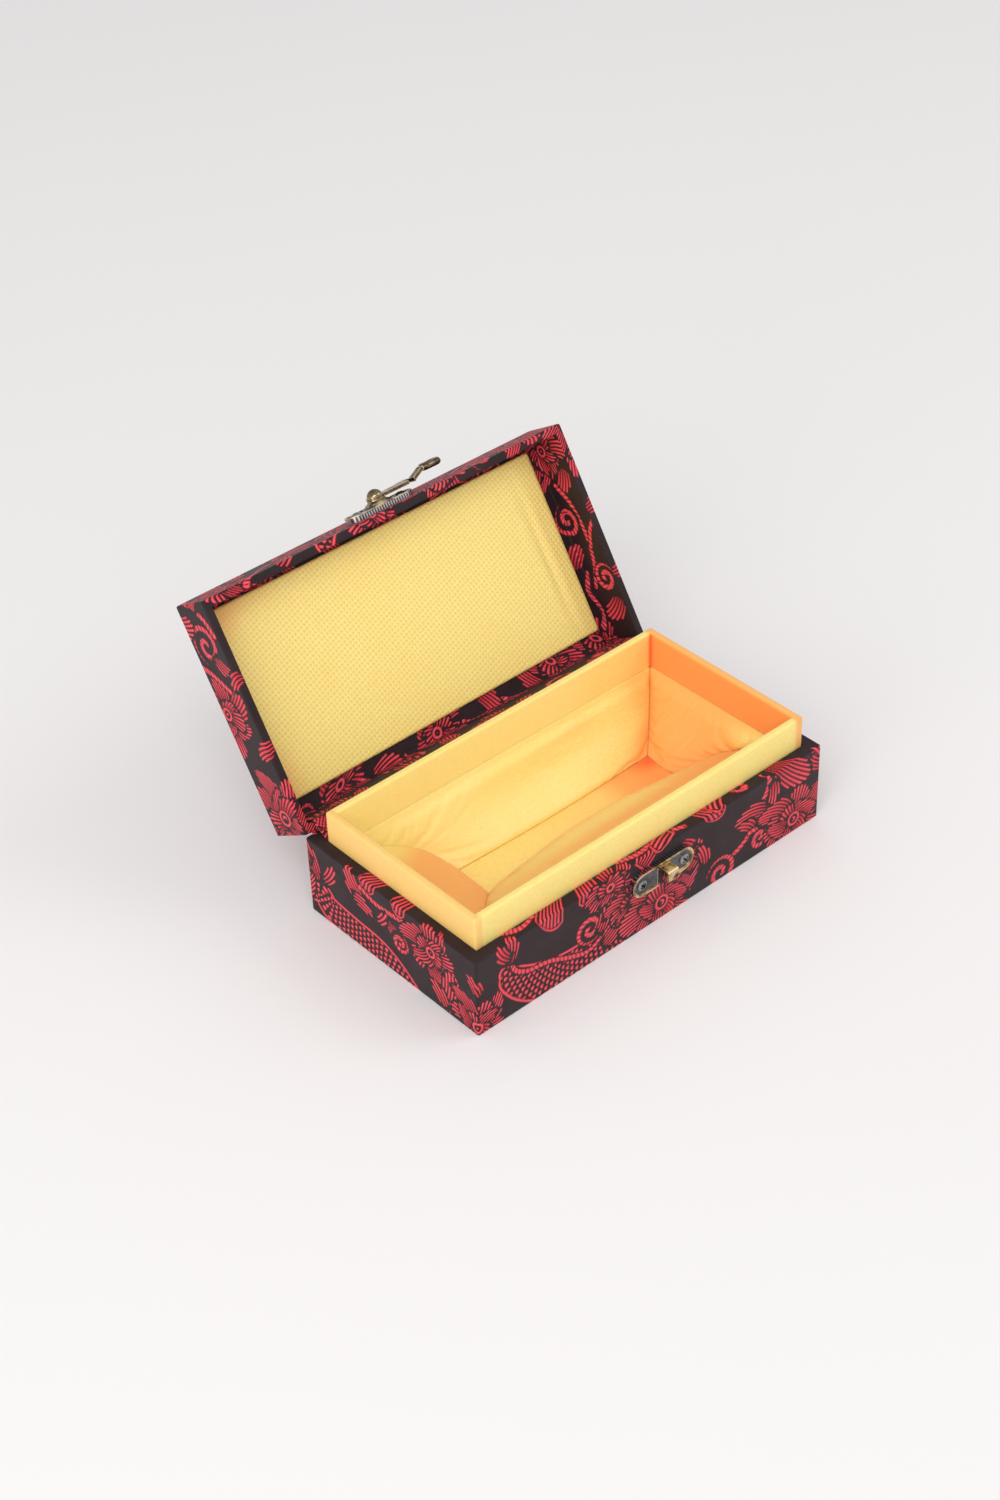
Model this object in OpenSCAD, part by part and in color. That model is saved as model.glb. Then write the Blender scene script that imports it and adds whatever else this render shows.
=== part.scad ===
// Hinged keepsake box of covered board: a base tray with a raised satin neck, a lid tray on a
// cloth hinge that stands open on its inner hinge strip, a padded lining and a swing-hook hasp.
// Millimetres. X runs along the length, -Y is the front, +Z is up, z = 0 is the table.

/* [Box] */
// Outside length of base and lid
box_l = 170; // [140:1:220]
// Outside depth of base and lid, front to back
box_d = 91; // [80:1:120]
// Height of the base up to its rim
base_h = 34; // [28:1:60]
// Height of the lid from its rim to its top
lid_h = 20.7; // [19:0.1:40]
// Angle at which the lid stands open, from closed
open_angle = 122; // [95:1:135]
// Gap between the two rims when the lid is shut
rim_gap = 0.4; // [0.2:0.1:1]
// Corner radius of the covered edges
edge_r = 0.8; // [0.4:0.1:1]

/* [Board and cloth] */
// Thickness of the base's wall boards
base_board = 3.8; // [2.5:0.1:5]
// Thickness of the base's floor board
floor_board = 3; // [2:0.1:5]
// Thickness of the lid's wall boards
lid_board = 2.2; // [1.8:0.1:2.4]
// Thickness of the lid's top board
top_board = 2; // [1.5:0.1:3]
// Thickness of the brocade with its paper backing
brocade_t = 0.5; // [0.3:0.1:0.6]
// Width of the brocade turned under the base
turn_under = 12; // [6:1:20]
// Depth of the brocade turned down inside the base
turn_in = 12; // [8:1:20]

/* [Neck] */
// Height of the neck above the base's rim
neck_h = 12.7; // [8:0.1:14]
// Gap between the base's side walls and the neck
neck_gap_side = 0; // [0:0.1:1]
// Gap between the base's front wall and the neck
neck_gap_front = 0.3; // [0.3:0.1:1]
// Gap between the base's back wall and the neck, where the hinge strip goes down
neck_gap_back = 1.8; // [0.8:0.1:3]
// Thickness of the neck's boards
neck_board = 2.2; // [1.5:0.1:3]
// Thickness of the satin glued on board
satin_t = 0.4; // [0.3:0.1:0.6]
// Depth of the flat satin band inside the neck, down to the padded lining
band_h = 16.5; // [10:0.5:20]
// Depth of the satin outside the neck, down from its top
neck_cover_h = 24; // [16:1:28]

/* [Lining] */
// Thickness of the floor card
floor_card_t = 1.5; // [1:0.1:3]
// Thickness of the satin floor pad
floor_pad_t = 1.6; // [1:0.1:3]
// Reach of the front pad over the floor
front_reach = 37; // [20:1:42]
// Reach of the left pad over the floor
left_reach = 38; // [15:1:50]
// Reach of the back pad over the floor
back_reach = 17.5; // [8:0.5:22]
// Reach of the right pad over the floor
right_reach = 18.4; // [8:0.1:40]
// Crown of the front pad at its middle
front_crown = 7; // [0:0.5:10]
// Crown of the other pads at their middle
side_crown = 1.2; // [0:0.1:3]
// Gap at the sewn corners of the lining
seam_gap = 0.3; // [0.2:0.1:1]

/* [Lid panel] */
// Inset of the satin panel from the lid's ends
panel_side = 8; // [6:0.1:14]
// Inset of the satin panel from the lid's front
panel_front = 6.5; // [5:0.1:14]
// Inset of the satin panel from the lid's back
panel_back = 9.4; // [6:0.1:16]
// Thickness of the panel's card
panel_card_t = 1; // [0.6:0.1:2]
// Thickness of the padded satin at the panel's edge
panel_pad_t = 0.6; // [0.4:0.1:1.5]
// Crown of the padded satin at its middle
panel_crown = 0.5; // [0.2:0.1:1]

/* [Hinge cloth] */
// Thickness of the hinge cloths
hinge_t = 0.5; // [0.3:0.1:0.6]
// Depth of the outer hinge cloth on the base
hinge_out_base = 16; // [8:1:24]
// Depth of the outer hinge cloth on the lid
hinge_out_lid = 12; // [8:1:16]
// Depth of the inner hinge strip inside the base
hinge_in_base = 20; // [10:1:26]
// Depth of the inner hinge strip inside the lid
hinge_in_lid = 10; // [6:1:12]
// Clear distance of the lid's outer hinge cloth from the hinge line
hinge_clear = 1.4; // [1:0.1:3]
// Inset of the hinge cloths from the box's ends
hinge_side = 3.6; // [2:0.1:10]

/* [Hasp] */
// Offset of the hasp from the middle of the front
hasp_x = 1.5; // [-4:0.1:4]
// Length of both hasp plates
plate_l = 30; // [24:0.5:40]
// Height of both hasp plates
plate_h = 10; // [8:0.5:12]
// Depth of the pressed plates
plate_rise = 2.2; // [1.6:0.1:3]
// Sheet thickness of the pressed plates
plate_t = 0.8; // [0.6:0.1:1]
// Width of the raised edge round the plates
plate_edge = 0.8; // [0.5:0.1:1.2]
// Depth of the sunk field inside that edge
plate_field = 0.4; // [0.2:0.1:0.5]
// Distance between the two screws of a plate
screw_pitch = 20.8; // [17:0.1:26]
// Diameter of the screws' shanks
screw_d = 1.6; // [1.2:0.1:1.8]
// Diameter of the screws' heads
screw_head_d = 4.2; // [3:0.1:5]
// Height of the screws' heads
screw_head_h = 1.1; // [0.8:0.1:1.6]
// Length of the screws below the head
screw_l = 4.4; // [3.5:0.1:5]
// Height of the lid plate's middle above the lid's rim
lid_plate_z = 8.6; // [6:0.1:14]
// Depth of the staple plate's middle below the base's rim
staple_z = 10.4; // [8:0.1:20]
// Height of the rivet boss over the lid
boss_h = 3.7; // [3.4:0.1:4.4]
// Diameter of the rivet boss at its top
boss_d = 7; // [6:0.1:8]
// Diameter of the rivet boss at its foot
boss_foot_d = 15; // [10:0.5:15]

/* [Hook] */
// Thickness of the swing hook
hook_t = 1.5; // [0.8:0.1:1.8]
// Gap under and over the hook at the rivet
hook_gap = 0.15; // [0.1:0.05:0.3]
// Diameter of the hook's eye
eye_d = 7; // [6:0.1:8]
// Width of the hook's arm
arm_w = 4.4; // [3:0.1:5]
// Radius of the hook round its notch
horn_r = 4.2; // [3.8:0.1:5]
// Sideways offset of the horn from the arm's middle
horn_off = 1.5; // [1:0.1:2]
// Width of the notch at its closed end
notch_w = 2; // [1.8:0.1:3]
// Distance from the rivet to the start of the ramp
ramp_u = 17.8; // [17:0.1:19]
// Length of the ramp
ramp_l = 5.2; // [4:0.1:7]
// Rise of the ramp away from the box
ramp_rise = 2.4; // [1:0.1:3]
// Length of the thumb tab
tab_l = 9.6; // [7:0.1:12]
// Width of the thumb tab
tab_w = 6; // [4:0.1:8]
// Thickness of the rounded thumb tab
tab_t = 2.8; // [2:0.1:3.4]
// Diameter of the rivet's shank
rivet_d = 2.4; // [2:0.1:3]
// Diameter of the rivet's domed head
rivet_head_d = 6; // [5:0.1:7]
// Height of the rivet's domed head
rivet_head_h = 2.4; // [1.4:0.1:2.8]
// Clearance of the rivet in the hook's eye
rivet_gap = 0.05; // [0.02:0.01:0.08]

/* [Staple] */
// Width of the staple's hood
hood_w = 5; // [4:0.1:5.4]
// Height of the staple's face
hood_h = 4; // [3:0.1:5]
// Thickness of the staple's hood
hood_t = 1; // [0.8:0.1:1.2]
// Clearance between the hook and the staple's face
hood_gap = 0.9; // [0.5:0.1:1.2]
// Height of the hood's neck over the staple plate's middle
hood_z = 4; // [3:0.1:4]

/* [Hidden] */
$fn = 48;
eps = 0.01;

// Outer faces of the box
hx = box_l / 2;
hy = box_d / 2;
bt = brocade_t;

// Neck: outer faces, then the faces of its boards
base_wall = base_board + 2 * bt;
nx = hx - base_wall - neck_gap_side;
nf = -hy + base_wall + neck_gap_front;
nb = hy - base_wall - neck_gap_back;
neck_top = base_h + neck_h;
floor_z = bt + floor_board;
bx = nx - satin_t;
bf = nf + satin_t;
bb = nb - satin_t;
ix = bx - neck_board;
iff = bf + neck_board;
ib = bb - neck_board;

// Lining levels
card_z = floor_z;
pad_z = card_z + floor_card_t;
pad_top = pad_z + floor_pad_t;
lining_top = neck_top - band_h;

// Lid, drawn shut: rim height, top, and the turn about the hinge line that opens it
rim_z = base_h + rim_gap;
lid_top = rim_z + lid_h;
axis_z = rim_z + 0.1;
lid_wall = lid_board + 2 * bt;
ceil_z = lid_top - bt - top_board - bt;
module opened()
    translate([0, hy, axis_z]) rotate([-open_angle, 0, 0]) translate([0, -hy, -axis_z]) children();

// Hasp: heights of its axis, the hook's plane and the staple's neck
pin_z = rim_z + lid_plate_z;
staple_c = base_h - staple_z;
hood_top = staple_c + hood_z;
hook_y = boss_h + hook_gap;
reach = pin_z - hood_top + hood_t / 2;
hood_in = hook_y + hook_t + hood_gap;

// Rectangle centred on the origin with round corners
module rrect(x, y, r) {
    square([x - 2 * r, y], center = true);
    square([x, y - 2 * r], center = true);
    for (sx = [-1, 1], sy = [-1, 1])
        translate([sx * (x / 2 - r), sy * (y / 2 - r)]) circle(r);
}
// Box between two corners
module block(a, b) translate(a) cube(b - a);

// base
module base_floor_board() color("burlywood")
    difference() {
        block([-hx + bt, -hy + bt, bt], [hx - bt, hy - bt, floor_z]);
    }
module base_long_wall(side) {
    y0 = side > 0 ? hy - bt - base_board : -hy + bt;
    block([-hx + bt, y0, floor_z], [hx - bt, y0 + base_board, base_h - bt]);
}
module base_front_board() color("burlywood")
    difference() {
        base_long_wall(-1);
        staple_frame() screw_holes(screw_l);
    }
module base_back_board() color("burlywood") base_long_wall(1);
module base_end_wall(side) {
    x0 = side > 0 ? hx - bt - base_board : -hx + bt;
    y0 = hy - bt - base_board;
    block([x0, -y0, floor_z], [x0 + base_board, y0, base_h - bt]);
}
module base_left_board() color("tan") base_end_wall(-1);
module base_right_board() color("tan") base_end_wall(1);
// Outside, rim, turned down inside, and turned under the floor
module base_brocade_cover() color("maroon")
    difference() {
        union() {
            linear_extrude(base_h)
                difference() {
                    rrect(box_l, box_d, edge_r);
                    square([box_l - 2 * bt, box_d - 2 * bt], center = true);
                }
            linear_extrude(bt)
                difference() {
                    square([box_l - 2 * bt + eps, box_d - 2 * bt + eps], center = true);
                    square([box_l - 2 * turn_under, box_d - 2 * turn_under], center = true);
                }
            translate([0, 0, base_h - bt]) linear_extrude(bt)
                difference() {
                    square([box_l - 2 * bt + eps, box_d - 2 * bt + eps], center = true);
                    square([box_l - 2 * base_wall, box_d - 2 * base_wall], center = true);
                }
            translate([0, 0, base_h - turn_in]) linear_extrude(turn_in)
                difference() {
                    square([box_l - 2 * (base_wall - bt), box_d - 2 * (base_wall - bt)],
                        center = true);
                    square([box_l - 2 * base_wall, box_d - 2 * base_wall], center = true);
                }
        }
        staple_frame() screw_holes(screw_l);
    }
module base_bottom_cloth() color("dimgray")
    linear_extrude(bt)
        square([box_l - 2 * turn_under, box_d - 2 * turn_under], center = true);

// neck
module neck_front_board() color("wheat")
    block([-bx, bf, floor_z], [bx, iff, neck_top - satin_t]);
module neck_back_board() color("wheat")
    block([-bx, ib, floor_z], [bx, bb, neck_top - satin_t]);
module neck_left_board() color("moccasin")
    block([-bx, iff, floor_z], [-ix, ib, neck_top - satin_t]);
module neck_right_board() color("moccasin")
    block([ix, iff, floor_z], [bx, ib, neck_top - satin_t]);
module neck_ring(x0, f0, b0, x1, f1, b1, r) {
    difference() {
        translate([0, (f0 + b0) / 2]) rrect(2 * x0, b0 - f0, r);
        translate([0, (f1 + b1) / 2]) square([2 * x1, b1 - f1], center = true);
    }
}
module neck_satin_cover() color("gold")
    union() {
        translate([0, 0, neck_top - neck_cover_h]) linear_extrude(neck_cover_h)
            neck_ring(nx, nf, nb, bx, bf, bb, edge_r * 0.75);
        translate([0, 0, neck_top - satin_t]) linear_extrude(satin_t)
            neck_ring(bx + eps, bf - eps, bb + eps, ix - satin_t, iff + satin_t, ib - satin_t,
                edge_r * 0.5);
        translate([0, 0, lining_top]) linear_extrude(band_h)
            neck_ring(ix, iff, ib, ix - satin_t, iff + satin_t, ib - satin_t, 0.1);
    }

// lining
LEVELS = 10;
SPANS = 14;
// Share of the depth at level k: 0 at the lining's top, 1 at the floor
function level_u(k) = pow(k / LEVELS, 0.9);
function level_z(k) = lining_top - (lining_top - pad_top) * level_u(k);
// Slack satin: a long slope that rolls over at its foot, or a hollow curve into the floor
function slope_form(u) = 0.02 + 0.98 * sin(90 * pow(u, 1.05));
function hollow_form(u) = 0.04 + 0.31 * u + 0.65 * pow(u, 3);
function reach_front(u) = front_reach * slope_form(u);
function reach_left(u) = left_reach * slope_form(u);
function reach_back(u) = back_reach * hollow_form(u);
function reach_right(u) = right_reach * hollow_form(u);
// Soft rolls along the front pad, and soft pulls along the others
function roll(t, u) = 1.1 * sin(540 * u) * sin(180 * t) * (1 - u);
function pull(t, u, n) = 0.35 * sin(360 * n * t + 140 * u) * sin(180 * t) * sin(180 * u);
// One pad. wall: its back face; a, b: reaches of the pads at its two ends; c: its own reach.
// Points run along the wall from end a to end b; fx turns (along, inward, height) to x, y, z.
module lining_pad(len, ra, rb, rc, crown, rolls, place) {
    row = SPANS + 1;
    g = seam_gap / 2;
    face = [for (k = [0:LEVELS]) let (u = level_u(k), z = level_z(k))
        let (a = ra[k] + g, b = len - rb[k] - g, c = rc[k])
        for (i = [0:SPANS]) let (t = i / SPANS)
            [a + (b - a) * t, c + crown * sin(180 * t) * pow(u, 0.7)
                + (rolls > 0 ? roll(t, u) : pull(t, u, 2 - rolls)), z]];
    wall = [for (k = [0:LEVELS]) let (z = level_z(k))
        for (i = [0:SPANS]) let (t = i / SPANS) [g + (len - 2 * g) * t, 0, z]];
    pts = concat(face, wall);
    w0 = len(face);
    quads = concat(
        [for (k = [0:LEVELS - 1], i = [0:SPANS - 1])
            [k * row + i, k * row + i + 1, (k + 1) * row + i + 1, (k + 1) * row + i]],
        [for (k = [0:LEVELS - 1], i = [0:SPANS - 1])
            [w0 + (k + 1) * row + i, w0 + (k + 1) * row + i + 1, w0 + k * row + i + 1,
                w0 + k * row + i]],
        [for (k = [0:LEVELS - 1])
            [w0 + k * row, k * row, (k + 1) * row, w0 + (k + 1) * row]],
        [for (k = [0:LEVELS - 1])
            [w0 + k * row + SPANS, w0 + (k + 1) * row + SPANS, (k + 1) * row + SPANS,
                k * row + SPANS]],
        [for (i = [0:SPANS - 1]) [w0 + i, w0 + i + 1, i + 1, i]],
        [for (i = [0:SPANS - 1])
            [LEVELS * row + i, LEVELS * row + i + 1, w0 + LEVELS * row + i + 1,
                w0 + LEVELS * row + i]]);
    tris = [for (q = quads) each [[q[0], q[1], q[2]], [q[0], q[2], q[3]]]];
    multmatrix(place) polyhedron(pts, tris, convexity = 6);
}
function reaches(f) = [for (k = [0:LEVELS]) let (u = level_u(k))
    f == 0 ? reach_front(u) : f == 1 ? reach_back(u) : f == 2 ? reach_left(u) : reach_right(u)];
module lining_pad_front() color("orange")
    lining_pad(2 * ix, reaches(2), reaches(3), reaches(0), front_crown, 1,
        [[1, 0, 0, -ix], [0, 1, 0, iff], [0, 0, 1, 0]]);
module lining_pad_back() color("orange")
    lining_pad(2 * ix, reaches(3), reaches(2), reaches(1), side_crown, 0,
        [[-1, 0, 0, ix], [0, -1, 0, ib], [0, 0, 1, 0]]);
module lining_pad_left() color("darkorange")
    lining_pad(ib - iff, reaches(1), reaches(0), reaches(2), side_crown, 0,
        [[0, 1, 0, -ix], [-1, 0, 0, ib], [0, 0, 1, 0]]);
module lining_pad_right() color("darkorange")
    lining_pad(ib - iff, reaches(0), reaches(1), reaches(3), side_crown, -1,
        [[0, -1, 0, ix], [1, 0, 0, iff], [0, 0, 1, 0]]);
module floor_card() color("tan")
    block([-ix, iff, card_z], [ix, ib, pad_z]);
module floor_satin_pad() color("orange")
    block([-ix, iff, pad_z], [ix, ib, pad_top]);

// lid, drawn shut
module lid_top_board() color("burlywood") opened()
    block([-hx + bt, -hy + bt, lid_top - bt - top_board], [hx - bt, hy - bt, lid_top - bt]);
module lid_long_wall(side) {
    y0 = side > 0 ? hy - bt - lid_board : -hy + bt;
    block([-hx + bt, y0, rim_z + bt], [hx - bt, y0 + lid_board, lid_top - bt - top_board]);
}
module lid_front_board() color("burlywood") opened()
    difference() {
        lid_long_wall(-1);
        hasp_frame() screw_holes(lid_wall);
    }
module lid_back_board() color("burlywood") opened() lid_long_wall(1);
module lid_end_wall(side) {
    x0 = side > 0 ? hx - bt - lid_board : -hx + bt;
    y0 = hy - bt - lid_board;
    block([x0, -y0, rim_z + bt], [x0 + lid_board, y0, lid_top - bt - top_board]);
}
module lid_left_board() color("tan") opened() lid_end_wall(-1);
module lid_right_board() color("tan") opened() lid_end_wall(1);
// Outside, top, rim and the walls' inner faces
module lid_brocade_cover() color("maroon") opened()
    difference() {
        translate([0, 0, rim_z]) linear_extrude(lid_h) rrect(box_l, box_d, edge_r);
        block([-hx + bt, -hy + bt, rim_z + bt], [hx - bt, hy - bt, lid_top - bt]);
        block([-hx + lid_wall, -hy + lid_wall, rim_z - 1], [hx - lid_wall, hy - lid_wall, rim_z + 1]);
        hasp_frame() screw_holes(lid_wall);
    }
module lid_inner_brocade() color("firebrick") opened()
    difference() {
        block([-hx + lid_wall - bt, -hy + lid_wall - bt, rim_z + bt],
            [hx - lid_wall + bt, hy - lid_wall + bt, ceil_z + bt]);
        block([-hx + lid_wall, -hy + lid_wall, rim_z], [hx - lid_wall, hy - lid_wall, ceil_z]);
        hasp_frame() screw_holes(lid_wall);
    }
module lid_panel_card() color("tan") opened()
    block([-hx + panel_side, -hy + panel_front, ceil_z - panel_card_t],
        [hx - panel_side, hy - panel_back, ceil_z]);
// Padded satin: a flat edge and a low crown over a fine grid
PX = 20;
PY = 12;
function crown_at(i, j) = let (a = sin(180 * i / PX), b = sin(180 * j / PY))
    panel_pad_t + panel_crown * pow(a, 0.35) * pow(b, 0.35);
module lid_panel_satin() color("gold") opened() {
    x0 = -hx + panel_side;
    x1 = hx - panel_side;
    y0 = -hy + panel_front;
    y1 = hy - panel_back;
    z0 = ceil_z - panel_card_t;
    row = PY + 1;
    low = [for (i = [0:PX], j = [0:PY])
        [x0 + (x1 - x0) * i / PX, y0 + (y1 - y0) * j / PY, z0 - crown_at(i, j)]];
    top = [for (p = low) [p[0], p[1], z0]];
    n = len(low);
    quads = concat(
        [for (i = [0:PX - 1], j = [0:PY - 1])
            [i * row + j, i * row + j + 1, (i + 1) * row + j + 1, (i + 1) * row + j]],
        [for (i = [0:PX - 1], j = [0:PY - 1])
            [n + (i + 1) * row + j, n + (i + 1) * row + j + 1, n + i * row + j + 1,
                n + i * row + j]],
        [for (i = [0:PX - 1])
            [i * row, (i + 1) * row, n + (i + 1) * row, n + i * row]],
        [for (i = [0:PX - 1])
            [n + i * row + PY, n + (i + 1) * row + PY, (i + 1) * row + PY, i * row + PY]],
        [for (j = [0:PY - 1]) [n + j, n + j + 1, j + 1, j]],
        [for (j = [0:PY - 1])
            [PX * row + j, PX * row + j + 1, n + PX * row + j + 1, n + PX * row + j]]);
    tris = [for (q = quads) each [[q[2], q[1], q[0]], [q[3], q[2], q[0]]]];
    polyhedron(concat(low, top), tris, convexity = 4);
}

// hinge cloth
module hinge_cloth_base() color("saddlebrown")
    block([-hx + hinge_side, hy, base_h - hinge_out_base],
        [hx - hinge_side, hy + hinge_t, base_h]);
module hinge_cloth_lid() color("saddlebrown") opened()
    block([-hx + hinge_side, hy, axis_z + hinge_clear],
        [hx - hinge_side, hy + hinge_t, axis_z + hinge_out_lid]);
module hinge_strip_base() color("sienna")
    block([-hx + base_wall, hy - base_wall - hinge_t, base_h - hinge_in_base],
        [hx - base_wall, hy - base_wall, base_h]);
module hinge_strip_lid() color("sienna") opened()
    block([-hx + hinge_side, hy - lid_wall - hinge_t, rim_z + bt],
        [hx - hinge_side, hy - lid_wall, rim_z + bt + hinge_in_lid]);

// hasp
// Plate frames: local x along the box, local y up, local z out of the front face
module staple_frame() translate([hasp_x, -hy, staple_c]) rotate([90, 0, 0]) children();
module hasp_frame() translate([hasp_x, -hy, pin_z]) rotate([90, 0, 0]) children();
module screw_holes(deep)
    for (s = [-1, 1]) translate([s * screw_pitch / 2, 0, -deep - eps])
        cylinder(h = deep + 4 * plate_rise, d = screw_d);
// Oval outline: a bar between two round ends, drawn in by w
module oval(w) {
    r = plate_h / 2 - w;
    square([plate_l - plate_h, 2 * r], center = true);
    for (s = [-1, 1]) translate([s * (plate_l - plate_h) / 2, 0]) circle(r);
}
// Pressed plate: raised edge, sunk field, hollow behind
module pressed_plate() {
    difference() {
        linear_extrude(plate_rise) oval(0);
        translate([0, 0, plate_rise - plate_field]) linear_extrude(1) oval(plate_edge);
        translate([0, 0, -1]) linear_extrude(1 + plate_rise - plate_field - plate_t)
            oval(plate_t);
    }
}
seat_z = plate_rise - plate_field;
module hasp_plate() color("darkgoldenrod") opened() hasp_frame()
    difference() {
        union() {
            pressed_plate();
            intersection() {
                translate([0, 0, seat_z - plate_t])
                    cylinder(h = boss_h - seat_z + plate_t, d1 = boss_foot_d, d2 = boss_d);
                linear_extrude(boss_h) oval(0);
            }
        }
        translate([0, 0, -1])
            cylinder(h = 1 + boss_h - plate_t - 0.6, d1 = boss_foot_d - 3, d2 = boss_d - 2.6);
        for (s = [-1, 1]) translate([s * screw_pitch / 2, 0, -1]) cylinder(h = 9, d = screw_d);
        translate([0, 0, -1]) cylinder(h = 9, d = rivet_d);
    }
// Staple: the plate's middle is cut and bent out as a hood, open below and at both sides
module staple_plate() color("darkgoldenrod") staple_frame()
    difference() {
        union() {
            pressed_plate();
            translate([-hood_w / 2, hood_z - hood_t, seat_z - plate_t])
                cube([hood_w, hood_t, hood_in - seat_z + plate_t]);
            translate([-hood_w / 2, hood_z - hood_t, hood_in])
                rotate([90, 0, 90]) linear_extrude(hood_w) hood_bend();
            translate([-hood_w / 2, hood_z - hood_h, hood_in])
                cube([hood_w, hood_h - hood_t, hood_t]);
        }
        translate([-hood_w / 2, -plate_h / 2 - 1, -1])
            cube([hood_w, plate_h / 2 + 1 + hood_z - hood_t - 0.6, plate_rise + 2]);
        for (s = [-1, 1]) translate([s * screw_pitch / 2, 0, -1]) cylinder(h = 9, d = screw_d);
    }
module hood_bend() intersection() {
    circle(hood_t);
    square(hood_t);
}
// Round head with a cross slot over a plain shank
module screw() {
    difference() {
        intersection() {
            cylinder(h = screw_head_h, d = screw_head_d);
            translate([0, 0, screw_head_h - screw_head_d * 0.8])
                sphere(r = screw_head_d * 0.8);
        }
        for (a = [0, 90]) rotate([0, 0, a + 20])
            translate([-screw_head_d * 0.34, -0.3, screw_head_h - 0.55])
                cube([screw_head_d * 0.68, 0.6, 1]);
    }
    translate([0, 0, -screw_l + 0.6]) cylinder(h = screw_l - 0.6 + eps, d = screw_d - 0.1);
    translate([0, 0, -screw_l]) cylinder(h = 0.6, d1 = 0.4, d2 = screw_d - 0.1);
}
module screw_pair()
    for (s = [-1, 1]) translate([s * screw_pitch / 2, 0, seat_z]) rotate([0, 0, s * 17]) screw();
module staple_screws() color("dimgray") staple_frame() screw_pair();
module hasp_screws() color("dimgray") opened() hasp_frame() screw_pair();
module hook_rivet() color("goldenrod") opened() hasp_frame() {
    z0 = boss_h - plate_t - 0.6;
    translate([0, 0, z0 - 0.5]) cylinder(h = 0.5, d = rivet_d + 1.6);
    translate([0, 0, z0]) cylinder(h = hook_y + hook_t + hook_gap - z0, d = rivet_d - 0.02);
    translate([0, 0, hook_y + hook_t + hook_gap]) {
        r = (rivet_head_d * rivet_head_d / 4 + rivet_head_h * rivet_head_h)
            / (2 * rivet_head_h);
        intersection() {
            cylinder(h = rivet_head_h, d = rivet_head_d);
            translate([0, 0, rivet_head_h - r]) sphere(r = r, $fn = 64);
        }
    }
}

// swing hook
// Local x runs from the rivet along the arm; at rest it lies along +X. The notch opens to -y.
module hook_flat() {
    difference() {
        union() {
            circle(d = eye_d);
            polygon([[0, -arm_w / 2], [reach - 1, -arm_w / 2 - 0.4], [reach - 1, horn_off + 3],
                [reach - horn_r, horn_off + 2.2], [0, arm_w / 2]]);
            translate([reach, horn_off]) circle(horn_r);
            polygon([[reach, -2], [ramp_u + 0.6, -1.7], [ramp_u + 0.6, 1.7],
                [reach + 2, horn_off + 3]]);
        }
        circle(d = rivet_d + 2 * rivet_gap);
        notch();
        translate([ramp_u + 0.2, -20]) square([20, 40]);
    }
}
// Straight to its closed end, past the hood's half width, and flared at its mouth
module notch() {
    e = hood_w / 2 + 0.5;
    translate([reach, 0]) {
        translate([-notch_w / 2, -9]) square([notch_w, 9 + e - notch_w / 2]);
        translate([0, e - notch_w / 2]) circle(notch_w / 2);
        polygon([[-notch_w / 2, -1.2], [notch_w / 2, -1.2], [notch_w / 2 + 1.3, -6],
            [-notch_w / 2 - 1.3, -6]]);
    }
}
module ramp_strip() {
    u0 = ramp_u;
    u1 = ramp_u + ramp_l;
    rotate([90, 0, 0]) translate([0, 0, -1.7]) linear_extrude(3.4)
        polygon([[u0, 0], [u1, ramp_rise], [u1 + 1.2, ramp_rise], [u1 + 1.2, ramp_rise + hook_t],
            [u1 - 0.3, ramp_rise + hook_t], [u0 - 0.3, hook_t], [u0 - 0.3, 0]]);
}
// Cast tab with a full round edge: a bar between two round ends, dished on its outer face
module thumb_tab() {
    r = tab_w / 2;
    e = tab_t / 2;
    translate([ramp_u + ramp_l + tab_l / 2 - 0.4, 0, ramp_rise + hook_t / 2])
        difference() {
            union() {
                rotate([90, 0, 90]) translate([0, 0, -(tab_l - tab_w) / 2])
                    linear_extrude(tab_l - tab_w) tab_section(-1);
                for (s = [-1, 1]) translate([s * (tab_l - tab_w) / 2, 0, 0])
                    rotate_extrude() tab_section(1);
            }
            translate([0, 0, e + r * 1.9]) sphere(r = r * 2.1);
        }
}
// Section of the tab: both halves, or one for the round ends
module tab_section(half) {
    r = tab_w / 2;
    e = tab_t / 2;
    translate([half > 0 ? 0 : e - r, -e]) square([half > 0 ? r - e : 2 * (r - e), tab_t]);
    translate([r - e, 0]) intersection() {
        circle(e);
        translate([0, -e]) square([e, tab_t]);
    }
    if (half < 0) translate([e - r, 0]) circle(e);
}
module swing_hook() color("gold") opened() hasp_frame()
    translate([0, 0, hook_y]) {
        linear_extrude(hook_t) hook_flat();
        ramp_strip();
        thumb_tab();
    }

base_floor_board();
base_front_board();
base_back_board();
base_left_board();
base_right_board();
base_brocade_cover();
base_bottom_cloth();
neck_front_board();
neck_back_board();
neck_left_board();
neck_right_board();
neck_satin_cover();
floor_card();
floor_satin_pad();
lining_pad_front();
lining_pad_back();
lining_pad_left();
lining_pad_right();
hinge_cloth_base();
hinge_strip_base();
staple_plate();
staple_screws();
lid_top_board();
lid_front_board();
lid_back_board();
lid_left_board();
lid_right_board();
lid_brocade_cover();
lid_inner_brocade();
lid_panel_card();
lid_panel_satin();
hinge_cloth_lid();
hinge_strip_lid();
hasp_plate();
hasp_screws();
hook_rivet();
swing_hook();
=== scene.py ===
import math

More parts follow.
